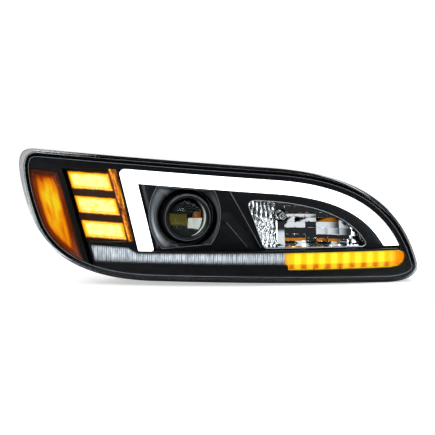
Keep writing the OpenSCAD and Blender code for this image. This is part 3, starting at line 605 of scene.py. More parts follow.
def lit_white(put):
    # Opal PMMA light guide, lit: even white with a faint fall between the lamps behind it
    where = put("TexCoord", out="Object")
    cloud = put("TexNoise", {"Vector": where, "Scale": 1000 / 26.0, "Detail": 1.0})
    level = colours().running_level
    glow = put("MapRange", {"Value": cloud, "To Min": level * 0.85, "To Max": level * 1.1})
    return put("BsdfPrincipled", {"Base Color": "#F2F4F7", "Roughness": 0.25,
                                  "Emission Color": rgba(colours().running), "Emission Strength": glow})


def lit_cell(put):
    # Fluted amber PMMA, lit: pale where the lamps shine through, deep yellow towards its edges
    where = put("TexCoord", out="Object")
    across, down = (put("Attribute", out="Fac", attribute_name=key) for key in ("across", "down"))
    near = []
    for value, reach in ((across, 0.11), (down, 0.26)):
        far = put("Math", {0: 1.0, 1: value}, operation="SUBTRACT")
        least = put("Math", {0: value, 1: far}, operation="MINIMUM")
        near.append(put("MapRange", {"Value": least, "From Max": reach}, **SMOOTH))
    core = put("Math", {0: near[0], 1: near[1]}, **TIMES)
    spots = put("TexNoise", {"Vector": where, "Scale": 1000 / 9.0, "Detail": 3.0})
    turns = put("Math", {0: across, 1: cell_flutes() * 2 * math.pi}, **TIMES)
    ribs = put("Math", {0: turns}, operation="COSINE")
    ribs = put("Math", {0: ribs, 1: -0.16, 2: 0.9}, **TIMES_PLUS)
    heat = put("Math", {0: core, 1: spots}, **TIMES)
    tint = put("ValToRGB", {"Fac": heat},
               stops=((0.0, "#F0A000"), (0.1, "#F9CE0C"), (0.27, "#FAE63C"), (0.48, colours().cell)))
    level = colours().amber_level
    glow = put("MapRange", {"Value": heat, "To Min": level * 0.45, "To Max": level * 0.62})
    glow = put("Math", {0: glow, 1: ribs}, **TIMES)
    return put("BsdfPrincipled", {"Base Color": "#E8A020", "Roughness": 0.12, "Emission Color": tint,
                                  "Emission Strength": glow})


def lit_strip(put):
    # Prismed PMMA light guide, lit amber: a row of hot spots, orange at its lower edge and its end
    across, down = (put("Attribute", out="Fac", attribute_name=key) for key in ("across", "down"))
    turns = put("Math", {0: across, 1: sizes().strip_spots * 2 * math.pi}, **TIMES)
    wave = put("Math", {0: turns}, operation="COSINE")
    spot = put("MapRange", {"Value": wave, "From Min": -1.0}, **SMOOTH)
    tint = put("Mix", {0: spot, 6: "#FFC40E", 7: rgba(colours().strip)}, **COLOUR)
    lower = put("Mix", {0: spot, 6: "#A83E00", 7: "#FFC41C"}, **COLOUR)
    for value, near, far, over in ((down, 0.6, 0.74, lower), (across, 0.82, 0.98, "#D86E00")):
        share = put("MapRange", {"Value": value, "From Min": near, "From Max": far}, **SMOOTH)
        tint = put("Mix", {0: share, 6: tint, 7: over}, **COLOUR)
    begin = put("MapRange", {"Value": across, "From Max": 0.05})
    tint = put("Mix", {0: begin, 6: "#B9852A", 7: tint}, **COLOUR)
    top = put("MapRange", {"Value": down, "From Max": 0.12, "To Min": 0.7})
    glow = put("Math", {0: top, 1: colours().amber_level * 0.55}, **TIMES)
    return put("BsdfPrincipled", {"Base Color": "#C88010", "Roughness": 0.12, "Emission Color": tint,
                                  "Emission Strength": glow})


def lit_marker(put):
    # Amber PMMA side lens, lit from two lamps: yellow streaks at their place, brown-red towards its rim
    where = put("TexCoord", out="Object")
    rim = put("Attribute", out="Fac", attribute_name="across")
    place = put("SeparateXYZ", {"Vector": where}).node.outputs
    lean = put("Math", {0: place["Z"], 1: math.tan(math.radians(CELL_LEAN)), 2: place["X"]}, **TIMES_PLUS)
    spot = []
    for x, z, r in ((-0.282, 0.044, 0.03), (-0.272, 0.040, 0.03), (-0.274, 0.006, 0.05)):
        away = put("VectorMath", {0: where, 1: (x, 0.0, z)}, operation="SUBTRACT")
        flat = put("VectorMath", {0: away, 1: (1.6, 0.0, 1.0)}, **TIMES)
        far = put("VectorMath", {0: flat}, out="Value", operation="LENGTH")
        spot.append(put("MapRange", {"Value": far, "From Min": r, "From Max": 0.0}, **SMOOTH))
    hot = put("Math", {0: spot[0], 1: spot[1]}, **GREATER)
    hot = put("Math", {0: spot[2], 1: 0.45, 2: hot}, **TIMES_PLUS)
    heat = put("Math", {0: hot, 1: 0.74, 2: 0.42}, **TIMES_PLUS)
    drawn = put("CombineXYZ", {"X": lean, "Z": place["Z"]})
    streak = put("Mapping", {"Vector": drawn, "Scale": (1.0, 1.0, 0.22)})
    grain = put("TexNoise", {"Vector": streak, "Scale": 1000 / 7.0, "Detail": 4.0})
    streaks = put("MapRange", {"Value": grain, "From Min": 0.3, "From Max": 0.7, "To Min": 0.55,
                               "To Max": 1.2})
    clear = put("MapRange", {"Value": rim, "From Min": -1.0, "From Max": 8.0, "To Min": 0.09}, **SMOOTH)
    brow = put("MapRange", {"Value": place["Z"], "From Min": 0.058, "From Max": 0.078, "To Min": 1.0,
                            "To Max": 0.35}, **SMOOTH)
    for share in (streaks, clear, brow):
        heat = put("Math", {0: heat, 1: share}, **TIMES)
    tint = put("ValToRGB", {"Fac": heat}, stops=((0.0, "#2A0A02"), (0.18, "#A03C04"), (0.36, "#F08008"),
                                                 (0.6, "#FFA60C"), (0.9, colours().marker)))
    return put("BsdfPrincipled", {"Base Color": "#331003", "Roughness": 0.1, "Emission Color": tint,
                                  "Emission Strength": 1.0})


def clear_prisms(put):
    # Clear PMMA prisms, unlit, over a metallised tray, glowing faintly with painted light: painted highlights
    # and shade on the flanks in turn, painted shade along the foot
    where = put("TexCoord", out="Object")
    down = put("Attribute", out="Fac", attribute_name="down")
    drawn = put("Mapping", {"Vector": where, "Scale": (1.0, 0.0, 0.16)})
    streak = put("TexNoise", {"Vector": drawn, "Scale": 1000 / 3.4, "Detail": 2.0})
    place = put("SeparateXYZ", {"Vector": where}, out="X")
    turns = put("Math", {0: place, 1: 2 * math.pi / sizes().strip_prism}, **TIMES)
    ribs = put("Math", {0: turns}, operation="COSINE")
    streak = put("Math", {0: ribs, 1: 0.12, 2: streak}, **TIMES_PLUS)
    flank_light_and_shade = put("ValToRGB", {"Fac": streak}, stops=((0.28, "#949BA2"), (0.5, "#D2D8DE"), (0.66, "#FFFFFF")))
    foot = put("MapRange", {"Value": down, "From Min": 0.5, "From Max": 0.95, "To Min": 1.0, "To Max": 0.5},
               **SMOOTH)
    tint = put("Mix", {0: 1.0, 6: flank_light_and_shade, 7: foot}, blend_type="MULTIPLY", **COLOUR)
    return put("BsdfPrincipled", {"Base Color": tint, "Roughness": 0.12, "Coat Weight": 0.5,
                                  "Emission Color": tint, "Emission Strength": 0.24})


def tray_wall_painted_amber_light(put):
    # Metallised tray wall glowing with the cells' amber light painted on: bright and dark orange streaks down
    # its folds, painted reflections
    where = put("TexCoord", out="Object")
    place = put("SeparateXYZ", {"Vector": where}).node.outputs
    lean = put("Math", {0: place["Z"], 1: math.tan(math.radians(LEG_LEAN)), 2: place["X"]}, **TIMES_PLUS)
    long = put("Math", {0: place["Z"], 1: 0.16}, **TIMES)
    drawn = put("CombineXYZ", {"X": lean, "Z": long})
    streak = put("TexNoise", {"Vector": drawn, "Scale": 1000 / 5.0, "Detail": 3.0})
    tint = put("ValToRGB", {"Fac": streak}, stops=((0.34, "#3A1604"), (0.5, "#B65808"), (0.66, "#FFB028")))
    return put("BsdfPrincipled", {"Base Color": tint, "Roughness": 0.25, "Metallic": 0.5,
                                  "Emission Color": tint, "Emission Strength": 0.55})


def lit_plate(put, code, level):
    # Steel glowing with painted light that stands in for the lamp's light on it: faintly brushed, falling off
    # into painted shade
    where = put("TexCoord", out="Object")
    drawn = put("Mapping", {"Vector": where, "Scale": (1.0, 1.0, 0.25)})
    brush = put("TexNoise", {"Vector": drawn, "Scale": 1000 / 3.0, "Detail": 2.0})
    tint = put("Mix", {0: brush, 6: rgba(code, 0.6), 7: rgba(code, 1.1)}, **COLOUR)
    painted_shade = put("Attribute", out="Fac", attribute_name="across")
    tint = put("Mix", {0: painted_shade, 6: tint, 7: "#141416"}, **COLOUR)
    return put("BsdfPrincipled", {"Base Color": tint, "Roughness": 0.3, "Metallic": 0.3,
                                  "Emission Color": tint, "Emission Strength": level})


def glass(put, code, ior, glint):
    # Polished glass that lets lamps through. Glint is the share of its reflections that a coating leaves
    where = put("TexCoord", out="Object")
    haze = put("TexNoise", {"Vector": where, "Scale": 1000 / 12.0, "Detail": 2.0})
    rough = put("MapRange", {"Value": haze, "To Max": 0.03})
    bent = put("BsdfRefraction", {"Color": code, "Roughness": rough, "IOR": ior})
    gloss = put("BsdfAnisotropic", {"Color": "#FFFFFF", "Roughness": rough})
    fresnel = put("Fresnel", {"IOR": ior})
    share = put("Math", {0: fresnel, 1: glint}, **TIMES)
    body = put("MixShader", {0: share, 1: bent, 2: gloss})
    clear = put("BsdfTransparent", {"Color": code})
    shadow = put("LightPath", out="Is Shadow Ray")
    return put("MixShader", {0: shadow, 1: body, 2: clear})


def floor_paint(put):
    # White sweep paint: near white, with the soft shadow of the lamp left on it
    where = put("TexCoord", out="Object")
    mottle = put("TexNoise", {"Vector": where, "Scale": 3.0})
    tone = put("MapRange", {"Value": mottle, "To Min": 0.86, "To Max": 0.9})
    path = put("LightPath").node.outputs
    seen = put("Math", {0: path["Is Camera Ray"], 1: path["Is Glossy Ray"]}, **GREATER)
    seen = put("Math", {0: seen, 1: path["Is Transmission Ray"]}, **GREATER)
    lift = put("Math", {0: seen, 1: 0.5}, **TIMES)
    return put("BsdfPrincipled", {"Base Color": tone, "Roughness": 0.8, "Emission Color": "#FFFFFF",
                                  "Emission Strength": lift})


SOFT_ANGLE = math.radians(32)


def soft_edges():
    """Drops a CAD mesh's custom normals and shades it smooth, with creases at its sharp edges."""
    if "soft_edges" in bpy.data.node_groups:
        return bpy.data.node_groups["soft_edges"]
    tree = bpy.data.node_groups.new("soft_edges", "GeometryNodeTree")
    for way in ("INPUT", "OUTPUT"):
        tree.interface.new_socket("Geometry", in_out=way, socket_type="NodeSocketGeometry")
    given = add(tree, "NodeGroupInput")
    bare = add(tree, "GeometryNodeRemoveAttribute", {"Geometry": given, "Name": "custom_normal"})
    smooth = add(tree, "GeometryNodeSetShadeSmooth", {"Geometry": bare, "Shade Smooth": True})
    angle = add(tree, "GeometryNodeInputMeshEdgeAngle", out="Unsigned Angle")
    steep = add(tree, "FunctionNodeCompare", {0: angle, 1: SOFT_ANGLE}, operation="GREATER_THAN")
    sharp = add(tree, "GeometryNodeSetShadeSmooth",
                {"Geometry": smooth, "Selection": steep, "Shade Smooth": False}, domain="EDGE")
    add(tree, "NodeGroupOutput", {0: sharp})
    return tree


def carry(finish, share, names):
    """Gives carried-over CAD nodes their finish and their moulded edges, as a share of the soft edge."""
    for name in names.split():
        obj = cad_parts[name]
        if not obj.material_slots:
            obj.data.materials.append(finish)
        for s in obj.material_slots:
            s.link = "OBJECT"
            s.material = finish
        obj.modifiers.new("joined", "WELD").merge_threshold = 0.01 * MM
        if share:
            flat = obj.modifiers.new("faces", "DECIMATE")
            flat.decimate_type = "DISSOLVE"
            flat.angle_limit = math.radians(0.5)
            bevel = obj.modifiers.new("edges", "BEVEL")
            bevel.width, bevel.segments = share * sizes().soft_edge, 2
            bevel.limit_method, bevel.angle_limit = "ANGLE", SOFT_ANGLE
        obj.modifiers.new("shading", "NODES").node_group = soft_edges()


class HEADLIGHT_OT_outer_lens(bpy.types.Operator):
    """Clear outer lens with its skirt and rounded edge"""
    bl_idname = "headlight.outer_lens"
    bl_label = "Outer lens"

    def execute(self, context):
        r = sizes().lens_edge / MM
        flat, tris = fill(inset(OUTLINE, r), step=9.0)
        shell, feet = Shell(), []
        for depth, bend in ((0.0, r), (LENS_T, r - LENS_T)):
            foot = inset(OUTLINE, depth)
            feet.append(at(foot, bow(foot, SEAM_FRONT, SEAM_BOW)))
            shell.strip([feet[-1], *round_over(OUTLINE, bend, depth, 8, depth)])
            shell.add(layer(flat, depth), tris)
        shell.strip(feet)
        piece("outer_lens_clear", shell, BODY,
              [material("hard_coated_polycarbonate", clear_polycarbonate)], ["outer_lens"])
        return {"FINISHED"}


class HEADLIGHT_OT_bezel(bpy.types.Operator):
    """Bezel with its polished rim, its satin slope and the walls of its windows"""
    bl_idname = "headlight.bezel"
    bl_label = "Bezel"

    def execute(self, context):
        r = sizes().bezel_fillet / MM
        start, front, back, foot = 3.5, 6.5, 31.0, SEAM_FRONT - 8.5
        step, land, lap = 0.5, 0.8, 0.3
        band = start + 1.0 + sizes().gloss_band / MM
        fall, reach = sizes().bezel_fall / MM, RUN_IN - band - 1.0
        gloss, satin, edge = range(3)

        def depth(p):
            return front + step + fall * np.clip((gap_to(p, OUTLINE) - band - land - lap) / reach, 0, 1)

        shell = Shell()
        wall, slope = inset(OUTLINE, start), inset(OUTLINE, band + land + lap)
        rim = layer(inset(OUTLINE, band), front)
        line = layer(inset(OUTLINE, band + land), front + step)
        below = at(wall, bow(wall, foot, SEAM_BOW))
        shell.strip([below, *round_over(OUTLINE, r, front, 5, start), rim], gloss)
        # The narrow band between the gloss rim and the satin slope is a painted highlight line
        shell.strip([rim, line], edge)
        shell.strip([line, layer(slope, front + step)], satin)
        holes = []
        for loop in (MARKER, TURN, BEAM, STRIP):
            holes.append(inset(loop, -r))
            base = depth(holes[-1])
            shell.strip([*round_in(loop, r, base, 5), layer(loop, np.maximum(base + r + 1, back))], satin)
        flat, tris = fill(slope, holes, 5.0)
        shell.add(layer(flat, depth(flat)), tris, satin)
        finishes = [surface(k) for k in ("polished_black_abs", "spark_textured_pc_abs", "polished_trim_edge")]
        piece("bezel_trim", shell, BODY, finishes, ["bezel"], wall=1.6)
        return {"FINISHED"}


def bead(shell, line, depth, w, lift, mark):
    """A narrow rounded line that stands a little proud along a row of flat points."""
    way = np.gradient(line, axis=0)
    side = np.column_stack([way[:, 1], -way[:, 0]]) / np.linalg.norm(way, axis=1)[:, None]
    rows = [(line + side * w * k, lift * (1 - k * k)) for k in (-1.0, -0.5, 0.0, 0.5, 1.0)]
    shell.strip([layer(p, depth(p) - up) for p, up in rows], mark, closed=False)


def shroud_mouth(r, n=240):
    """The projector's mouth: two side arcs between a leaning top and a leaning foot."""
    way = circle((0, 0), 1.0, n, -1)
    mid, grazing = -SHROUD_ARC * np.sign(way[:, 0]), 0.05
    reach = way[:, 0] * mid + np.sqrt((r + SHROUD_ARC) ** 2 - (way[:, 1] * mid) ** 2)
    for roll, limit in ((-4.3, 43.0), (185.7, 53.0)):
        rise = way @ np.array([-math.sin(math.radians(roll)), math.cos(math.radians(roll))])
        edge = (limit + r - SHROUD_R) / np.maximum(rise, grazing)
        reach = np.where(rise > grazing, np.minimum(reach, edge), reach)
    return np.array(SHROUD) + way * reach[:, None]


class HEADLIGHT_OT_beam_mask(bpy.types.Operator):
    """Creased panel between the projector and the high beam"""
    bl_idname = "headlight.beam_mask"
    bl_label = "Beam mask"

    def execute(self, context):
        top, low, toe = np.array([4.0, 54.0]), np.array([59.5, -47.4]), np.array([-6.0, 0.0])
        ridge, crease = np.linspace(top, low, 24), np.linspace([0.3, -0.7], [38.5, -46.0], 14)
        climb_w, tent_w, tent_h = 6.0, 16.0, 3.6
        panel, deep, back, lip = 26.5, 32.0, 35.5, 1.0
        gutter, gutter_d = 13.0, 4.5
        leg = (LEG_TOP[0] + LEG_W, LEG_TOP[1])
        across = np.array([low[1] - top[1], top[0] - low[0]]) / -np.linalg.norm(low - top)
        satin, edge, soft, chrome = range(4)

        def depth(p):
            side = (p - top) @ across
            tent = tent_h * np.clip(1 - gap_to(p, crease, False) / tent_w, 0, 1)
            hollow = deep - tent * np.clip(-side / climb_w, 0, 1)
            slope = gutter_d * np.clip(1 - past_line(p, leg, LEG_LEAN) / gutter, 0, 1) ** 2
            return hollow + (panel - hollow) * np.clip((side + climb_w) / climb_w, 0, 1) + slope

        rim, hole, mouth = inset(MASK, 0.4), inset(WINDOW, -lip), shroud_mouth(SHROUD_R + 0.3)
        near, nearer = inset(rim, 1.5), inset(rim, 1.0)
        foot = ridge + toe
        heights = np.arange(80.0, -50.0, -3.0)
        border = np.array([leaning((leg[0] + gutter, leg[1]), LEG_LEAN, z) for z in heights])
        border = border[inside(border, near) & ~inside(border, inset(mouth, -1.5))]
        ridge, foot = (line[inside(line, nearer)] for line in (ridge, foot))
        crease_line = crease[inside(crease, near)]
        lines = [ridge, foot, crease_line, border[border[:, 1] > SHROUD[1]], border[border[:, 1] < SHROUD[1]]]
        flat, tris = fill(rim, [mouth, hole], 4.0, lines)
        in_gutter = past_line(flat[tris].mean(1), leg, LEG_LEAN) < gutter
        shell = Shell()
        shell.add(layer(flat, depth(flat)), tris, np.where(in_gutter, soft, satin))
        shell.strip([layer(rim, depth(rim)), layer(inset(rim, 0.2), np.maximum(back, depth(rim) + 1.0))])
        shell.strip([layer(hole, depth(hole)), *round_in(WINDOW, lip, panel, 4)[1:]], chrome)
        shell.strip([layer(WINDOW, panel + lip), layer(WINDOW, back)])
        shell.strip([layer(mouth, depth(mouth)), layer(mouth, back)])
        # The beads along the ridge and the crease carry painted highlight lines
        for line, w in ((ridge, 0.45), (crease_line, 0.35)):
            bead(shell, line, depth, w, 0.3, edge)
        finishes = [surface(k) for k in ("spark_textured_pc_abs", "polished_trim_edge", "semi_gloss_pc_abs",
                                         "chromed_abs_lip")]
        piece("beam_mask_panel", shell, BODY, finishes, ["beam_mask"], crease=20.0, wall=1.2)
        return {"FINISHED"}


class HEADLIGHT_OT_projector(bpy.types.Operator):
    """Projector shroud, lens and retaining ring"""
    bl_idname = "headlight.projector"
    bl_label = "Projector"

    def execute(self, context):
        self.shroud()
        lens = Shell()
        front, cap, clear_r = -184.6, 42.0, 30.9
        rise = [(cap * math.sin(t), front + cap * (1 - math.cos(t)))
                for t in np.linspace(0, math.asin(clear_r / cap), 24)]
        edge = rise[-1][1]
        lens.lathe(PROJ, [*rise, (31.7, edge + 0.7), (31.7, edge + 5), (31.2, edge + 5.4), (0, edge + 5.4)])
        # Coated crown glass: clear, with few reflections
        piece("projector_lens_glass", lens, CARRIER,
              [material("coated_crown_glass", glass, "#F1F6F4", 1.52, 0.25)], ["projector_lens"])
        ring, seat = Shell(), -171.1
        ring.lathe(PROJ, [(39.2, seat - 4.3), (39.7, seat - 3.8), (39.7, seat), (32.2, seat),
                          (32.2, seat - 3.2), (33.0, seat - 4.2), (34.6, seat - 4.9), (36.5, seat - 4.9),
                          (36.9, seat - 4.5)])
        # A thin pale circle on the ring: a painted highlight
        ring.lathe(PROJ, [(36.9, seat - 4.5), (37.2, seat - 4.6), (37.5, seat - 4.5)], 1)
        ring.lathe(PROJ, [(37.5, seat - 4.5), (37.9, seat - 4.9), (39.2, seat - 4.3)])
        piece("lens_ring_turned", ring, CARRIER,
              [surface("semi_gloss_pc_abs"), surface("polished_trim_edge")], ["lens_ring"])
        return {"FINISHED"}

    def shroud(self):
        """Dished shroud from its mouth down to a well and a round hole."""
        mouth = shroud_mouth(SHROUD_R - 0.1)
        hole_r, floor, back = 46.4, -149.7, 40.0
        brow, lip, crest, dip = 31.6, 31.2, 31.0, 1.2
        spin = mouth - PROJ
        a = np.arctan2(spin[:, 1], spin[:, 0])
        spoke = hole_r * np.column_stack([np.cos(a), np.sin(a)])
        hole, well, inner = PROJ + spoke, PROJ + spoke * 1.03, inset(mouth, 0.9)
        shell = Shell()
        shell.strip([layer(mouth, back), layer(mouth, brow), layer(inset(mouth, 0.2), lip)])
        # The pale line along the shroud's lip is a painted highlight
        line = ((0.2, lip), (0.4, crest), (0.7, crest), (0.9, lip))
        shell.strip([layer(inset(mouth, k), d) for k, d in line], 1)
        loops, chrome = [layer(inner, lip)], [np.zeros(len(a))]
        top = loops[0][:, 1]
        # The chrome is full on the outboard wing and faint on the inboard one
        wing = np.clip((-np.cos(a) - 0.5) / 0.35, 0, 1) + 0.25 * np.clip((np.cos(a) - 0.6) / 0.35, 0, 1)
        wide = np.linalg.norm(inner - well, axis=1)
        for t in np.linspace(0, 1, 9)[1:]:
            sag = dip * min(1.0, 4 * t) + wide * (0.36 * t - 0.06 * t * t)
            loops.append(at(inner + (well - inner) * t, top + sag))
            chrome.append(wing * math.sin(math.pi * t) ** 1.5)
        brim = loops[-1][:, 1]
        for t in np.linspace(0, 1, 6)[1:]:
            loops.append(at(well + (hole - well) * t, np.minimum(brim + dip, floor) * (1 - t) + floor * t))
            chrome.append(np.zeros(len(a)))
        shell.strip(loops, values=np.column_stack([np.concatenate(chrome)] * 2))
        # The pale edge round the hole is a painted highlight
        turned = ((1.0, 0.0), (0.99, 0.25), (0.985, 0.7), (0.985, 1.2))
        shell.strip([at(PROJ + spoke * k, floor + d) for k, d in turned], 1)
        piece("projector_bowl_shroud", shell, BODY,
              [material("black_chromed_pc_abs", black_chrome), surface("polished_trim_edge")],
              ["projector_shroud"], wall=1.2)


class HEADLIGHT_OT_cutoff_shield(bpy.types.Operator):
    """Stepped cut-off shield with glowing tabs, and a glowing crescent at the lens's edge, painted light seen
    through the lens
    """
    bl_idname = "headlight.cutoff_shield"
    bl_label = "Cut-off shield"

    def execute(self, context):
        lo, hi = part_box("cutoff_shield")
        y0, r, mouth_r = lo[1] / MM, (hi[0] - lo[0]) / 2 / MM, 29.5
        arc = np.linspace(math.pi - 0.17, 0.02, 40)
        arch = np.column_stack([np.cos(arc), np.sin(arc)]) * mouth_r
        mouth = np.vstack([arch, [(0.0, 0.5), (0.0, 5.0)]]) + PROJ
        flat, tris = fill(circle(PROJ, r, 96, -1), [divided(mouth, 3.0)], 4.0)
        plate = Shell()
        plate.add(at(flat, y0), tris)
        tabs = (((-3.2, -8.2), (-3.9, -1.4), (6.2, -1.2), (6.2, -9.4)),
                ((6.5, -10.6), (7.1, -3.9), (15.5, -3.8), (15.5, -10.6)),
                ((9.6, -3.4), (10.6, -0.6), (14.8, 0.3), (14.8, -3.4)))
        for mark, corners in enumerate(tabs, 1):
            tab = tidy_loop(corners, 0.6, 3.0) + PROJ
            face = inset(tab, 0.4)
            flat, tris = fill(face, (), 3.0)
            plate.strip([at(tab, y0 - 0.1), at(tab, y0 - 0.6), at(face, y0 - 1.0)], mark)
            plate.add(at(flat, y0 - 1.0), tris, mark)
        # Olive steel, pale warm steel and amber steel, all glowing with painted light; the amber is a painted
        # reflection of the amber lamps
        olive, bright, amber = (material(name, lit_plate, code, level) for name, code, level in (
            ("heat_tinted_steel", "#7C6C2A", 0.4), ("polished_steel_plate", "#F6EEE8", 0.75),
            ("amber_lit_steel", "#B4600E", 0.45)))
        piece("cutoff_step_shield", plate, CARRIER,
              [surface("black_oxide_steel"), olive, bright, amber], ["cutoff_shield"], wall=0.8)
        # A pale crescent on the lens seat, glowing as a painted glare, with painted shade fading its inner
        # band and its top end
        seat = Shell()
        seat_w, seat_y = 8.0, -164.4
        t = np.linspace(-1.35, 1.15, 60)
        wide = seat_w * np.cos((t + 0.1) / 2.5 * math.pi * 0.98) ** 0.8
        rim = np.column_stack([np.cos(t), np.sin(t)])
        rings = np.linspace(0, 1, 9)
        painted_glare_fade = [np.clip(2 * k * k + np.clip((t - 0.1) / 1.1, 0, 1), 0, 1) for k in rings]
        loops = [at(rim * (mouth_r - wide * k)[:, None] + PROJ, seat_y + 0.6 * k) for k in rings]
        seat.strip(loops, closed=False, values=np.column_stack([np.concatenate(painted_glare_fade)] * 2))
        piece("lens_seat_bright", seat, CARRIER, [bright], wall=0.3)
        return {"FINISHED"}


class HEADLIGHT_OT_running_light(bpy.types.Operator):
    """Lit hook-shaped running light"""
    bl_idname = "headlight.running_light"
    bl_label = "Running light"

    def execute(self, context):
        r, front, back = 1.4, 13.0, 23.0
        shell = Shell()
        shell.strip([layer(RUNNING, back), *round_over(RUNNING, r, front, 5)])
        for loop, depth, step in ((inset(RUNNING, r), front, 5.0), (RUNNING, back, 7.0)):
            flat, tris = fill(loop, step=step)
            shell.add(layer(flat, depth), tris)
        piece("running_light_lit", shell, BODY, [material("lit_opal_pmma", lit_white)],
              ["running_light_guide"])
        return {"FINISHED"}


def fluted(border, flute, depth, drop, reach=2.0):
    """Depth of a fluted face whose flutes end and whose face drops towards its border."""
    near = np.clip(border / reach, 0, 1)
    return depth - flute * near + drop * (1 - near) ** 2


def border_of(rows):
    """The closed border of a patch of rows."""
    return np.vstack([rows[0], [r[-1] for r in rows[1:]], rows[-1][::-1][1:], [r[0] for r in rows[-2:0:-1]]])


class HEADLIGHT_OT_turn_signal(bpy.types.Operator):
    """Three fluted cells in their tray"""
    bl_idname = "headlight.turn_signal"
    bl_label = "Turn signal"

    def execute(self, context):
        self.tray()
        lens_d, back_d, flute_h = 23.6, 27.0, 0.55
        flutes = cell_flutes()
        u, v = np.linspace(0.004, 0.996, flutes * 8 + 1), np.linspace(0.01, 0.99, 13)
        bulge = np.abs(np.sin(np.pi * u * flutes)) * flute_h
        for i, name in enumerate(("upper", "middle", "lower")):
            a, w, h = cell_corners(i)
            lens, rows = Shell(), []
            for t in v:
                border = np.minimum(np.minimum(u, 1 - u) * CELL_W, min(t, 1 - t) * CELL_H)
                rows.append(layer(a + np.outer(u, w) + t * h, fluted(border, bulge, lens_d, 1.6)))
            spread = np.vstack([np.column_stack([u, np.full(len(u), t)]) for t in v])
            lens.strip(rows, closed=False, values=spread)
            edge = border_of(rows)
            back = layer(edge[:, ::2], back_d)
            lens.strip([edge, back])
            lens.add(back, [list(range(len(back)))])
            piece("turn_cell_" + name, lens, BODY, [material("lit_fluted_pmma", lit_cell)],
                  ["turn_lens_" + name], crease=50.0)
        return {"FINISHED"}

    def tray(self):
        """Tray with a well for each cell, a climbing inboard wall and a sunk outboard edge."""
        frame_d, floor_d, side, sunk = 22.0, 41.5, CELL_W + 1.5, -1.6
        climb_h, climb_w, fold_h, fold_rate = 9.0, 11.0, 0.7, 1.9
        sunk_d, sunk_w = 15.0, 1.2
        ribs, wall, satin = range(3)

        def depth(p):
            along = past_line(p, CELL_TOP, CELL_LEAN)
            climb = climb_h * np.clip((along - side) / climb_w, 0, 1) ** 1.3
            fold = fold_h * np.sin(along * fold_rate) * np.clip((along - side) / 3.0, 0, 1)
            return frame_d - climb + fold + sunk_d * np.clip((sunk - along) / sunk_w, 0, 1)

        shell, wells, rim = Shell(), [], inset(TURN, 0.4)
        for i in range(3):
            a, w, h = cell_corners(i)
            well = tidy_loop([a, a + w, a + w + h, a + h], 1.2, 4.0)
            wells.append(inset(well, -0.9))
            shell.strip([layer(wells[-1], frame_d), layer(inset(well, -0.45), frame_d + 0.6),
                         layer(inset(well, -0.4), floor_d)], wall)
        edges = [np.array([leaning((CELL_TOP[0] + k, CELL_TOP[1]), CELL_LEAN, z)
                           for z in np.linspace(84.5, -30.5, 30)]) for k in (sunk, sunk - sunk_w, side)]
        flat, tris = fill(rim, wells, 2.4, edges)
        place = past_line(flat, CELL_TOP, CELL_LEAN)[tris].mean(1)
        marks = np.where(place > side, wall, np.where(place < sunk, satin, ribs))
        shell.add(layer(flat, depth(flat)), tris, marks)
        shell.strip([layer(rim, depth(rim)), layer(rim, floor_d)], satin)
        # The climbing wall carries the cells' amber light as painted light
        finishes = [surface("dark_amber_abs"), material("amber_metallised_abs", tray_wall_painted_amber_light),
                    surface("spark_textured_pc_abs")]
        piece("turn_tray_ribs", shell, BODY, finishes, ["turn_tray"], wall=0.8)


class HEADLIGHT_OT_side_marker(bpy.types.Operator):
    """Lit amber side lens with its rounded border"""
    bl_idname = "headlight.side_marker"
    bl_label = "Side marker"

    def execute(self, context):
        loop = inset(MARKER, 0.35)
        r, front, back = 2.2, 11.0, 14.0
        face_in, face_d = r + 3.0, front + 0.7
        face = inset(loop, face_in)
        shell = Shell()
        shell.strip([layer(loop, back), *round_over(loop, r, front, 6), layer(inset(loop, r + 2.2), front),
                     layer(face, face_d)])
        flat, tris = fill(face, step=3.0)
        rim = gap_to(flat, loop) - face_in
        shell.add(layer(flat, face_d), tris, values=np.column_stack([rim, rim]))
        flat, tris = fill(loop, step=8.0)
        shell.add(layer(flat, back), tris)
        piece("side_marker_amber", shell, BODY, [material("lit_amber_pmma", lit_marker)],
              ["side_marker_lens"])
        return {"FINISHED"}


class HEADLIGHT_OT_turn_strip(bpy.types.Operator):
    """Prismed strip under the beams: clear outboard, lit amber inboard"""
    bl_idname = "headlight.turn_strip"
    bl_label = "Turn strip"

    def execute(self, context):
        face, back, pitch, prism_h = 15.0, 23.0, sizes().strip_prism / MM, 1.3
        loop = inset(STRIP, 0.3)
        sides = list(zip(loop, np.roll(loop, -1, 0)))
        for name, x0, x1, finish, slot in (
                ("clear", loop[:, 0].min() + 0.6, STRIP_SPLIT - 0.15,
                 material("clear_prism_pmma", clear_prisms), "strip_clear"),
                ("amber", STRIP_SPLIT + 0.15, loop[:, 0].max() - 0.6,
                 material("lit_prism_pmma", lit_strip), "amber_lit")):
            x = np.linspace(x0, x1, int((x1 - x0) / pitch * 6) + 1)
            n = len(x)
            high, low = np.zeros(n), np.zeros(n)
            for k, v in enumerate(x):
                hit = [p[1] + (q[1] - p[1]) * (v - p[0]) / (q[0] - p[0]) for p, q in sides
                       if (p[0] > v) != (q[0] > v)]
                high[k], low[k] = max(hit), min(hit)
            wave = np.abs(np.sin(np.pi * (x - x0) / pitch)) * prism_h
            rows, values = [], []
            for t in np.linspace(0, 1, 13):
                border = np.minimum(min(t, 1 - t) * (high - low), np.minimum(x - x0, x1 - x + 0.4))
                p = np.column_stack([x, high + (low - high) * t])
                rows.append(layer(p, fluted(border, wave, face, 1.8)))
                values.append(np.column_stack([(x - x0) / (x1 - x0), np.full(n, t)]))
            shell = Shell()
            shell.strip(rows, closed=False, values=np.vstack(values))
            edge = border_of(rows)
            shell.strip([edge, layer(edge[:, ::2], back)])
            ends = np.vstack([rows[0], rows[-1]])
            shell.add(layer(ends[:, ::2], back), [(i, i + 1, n + i + 1, n + i) for i in range(n - 1)])
            piece("turn_strip_" + name, shell, BODY, [finish], [name + "_strip"], crease=50.0)
        return {"FINISHED"}


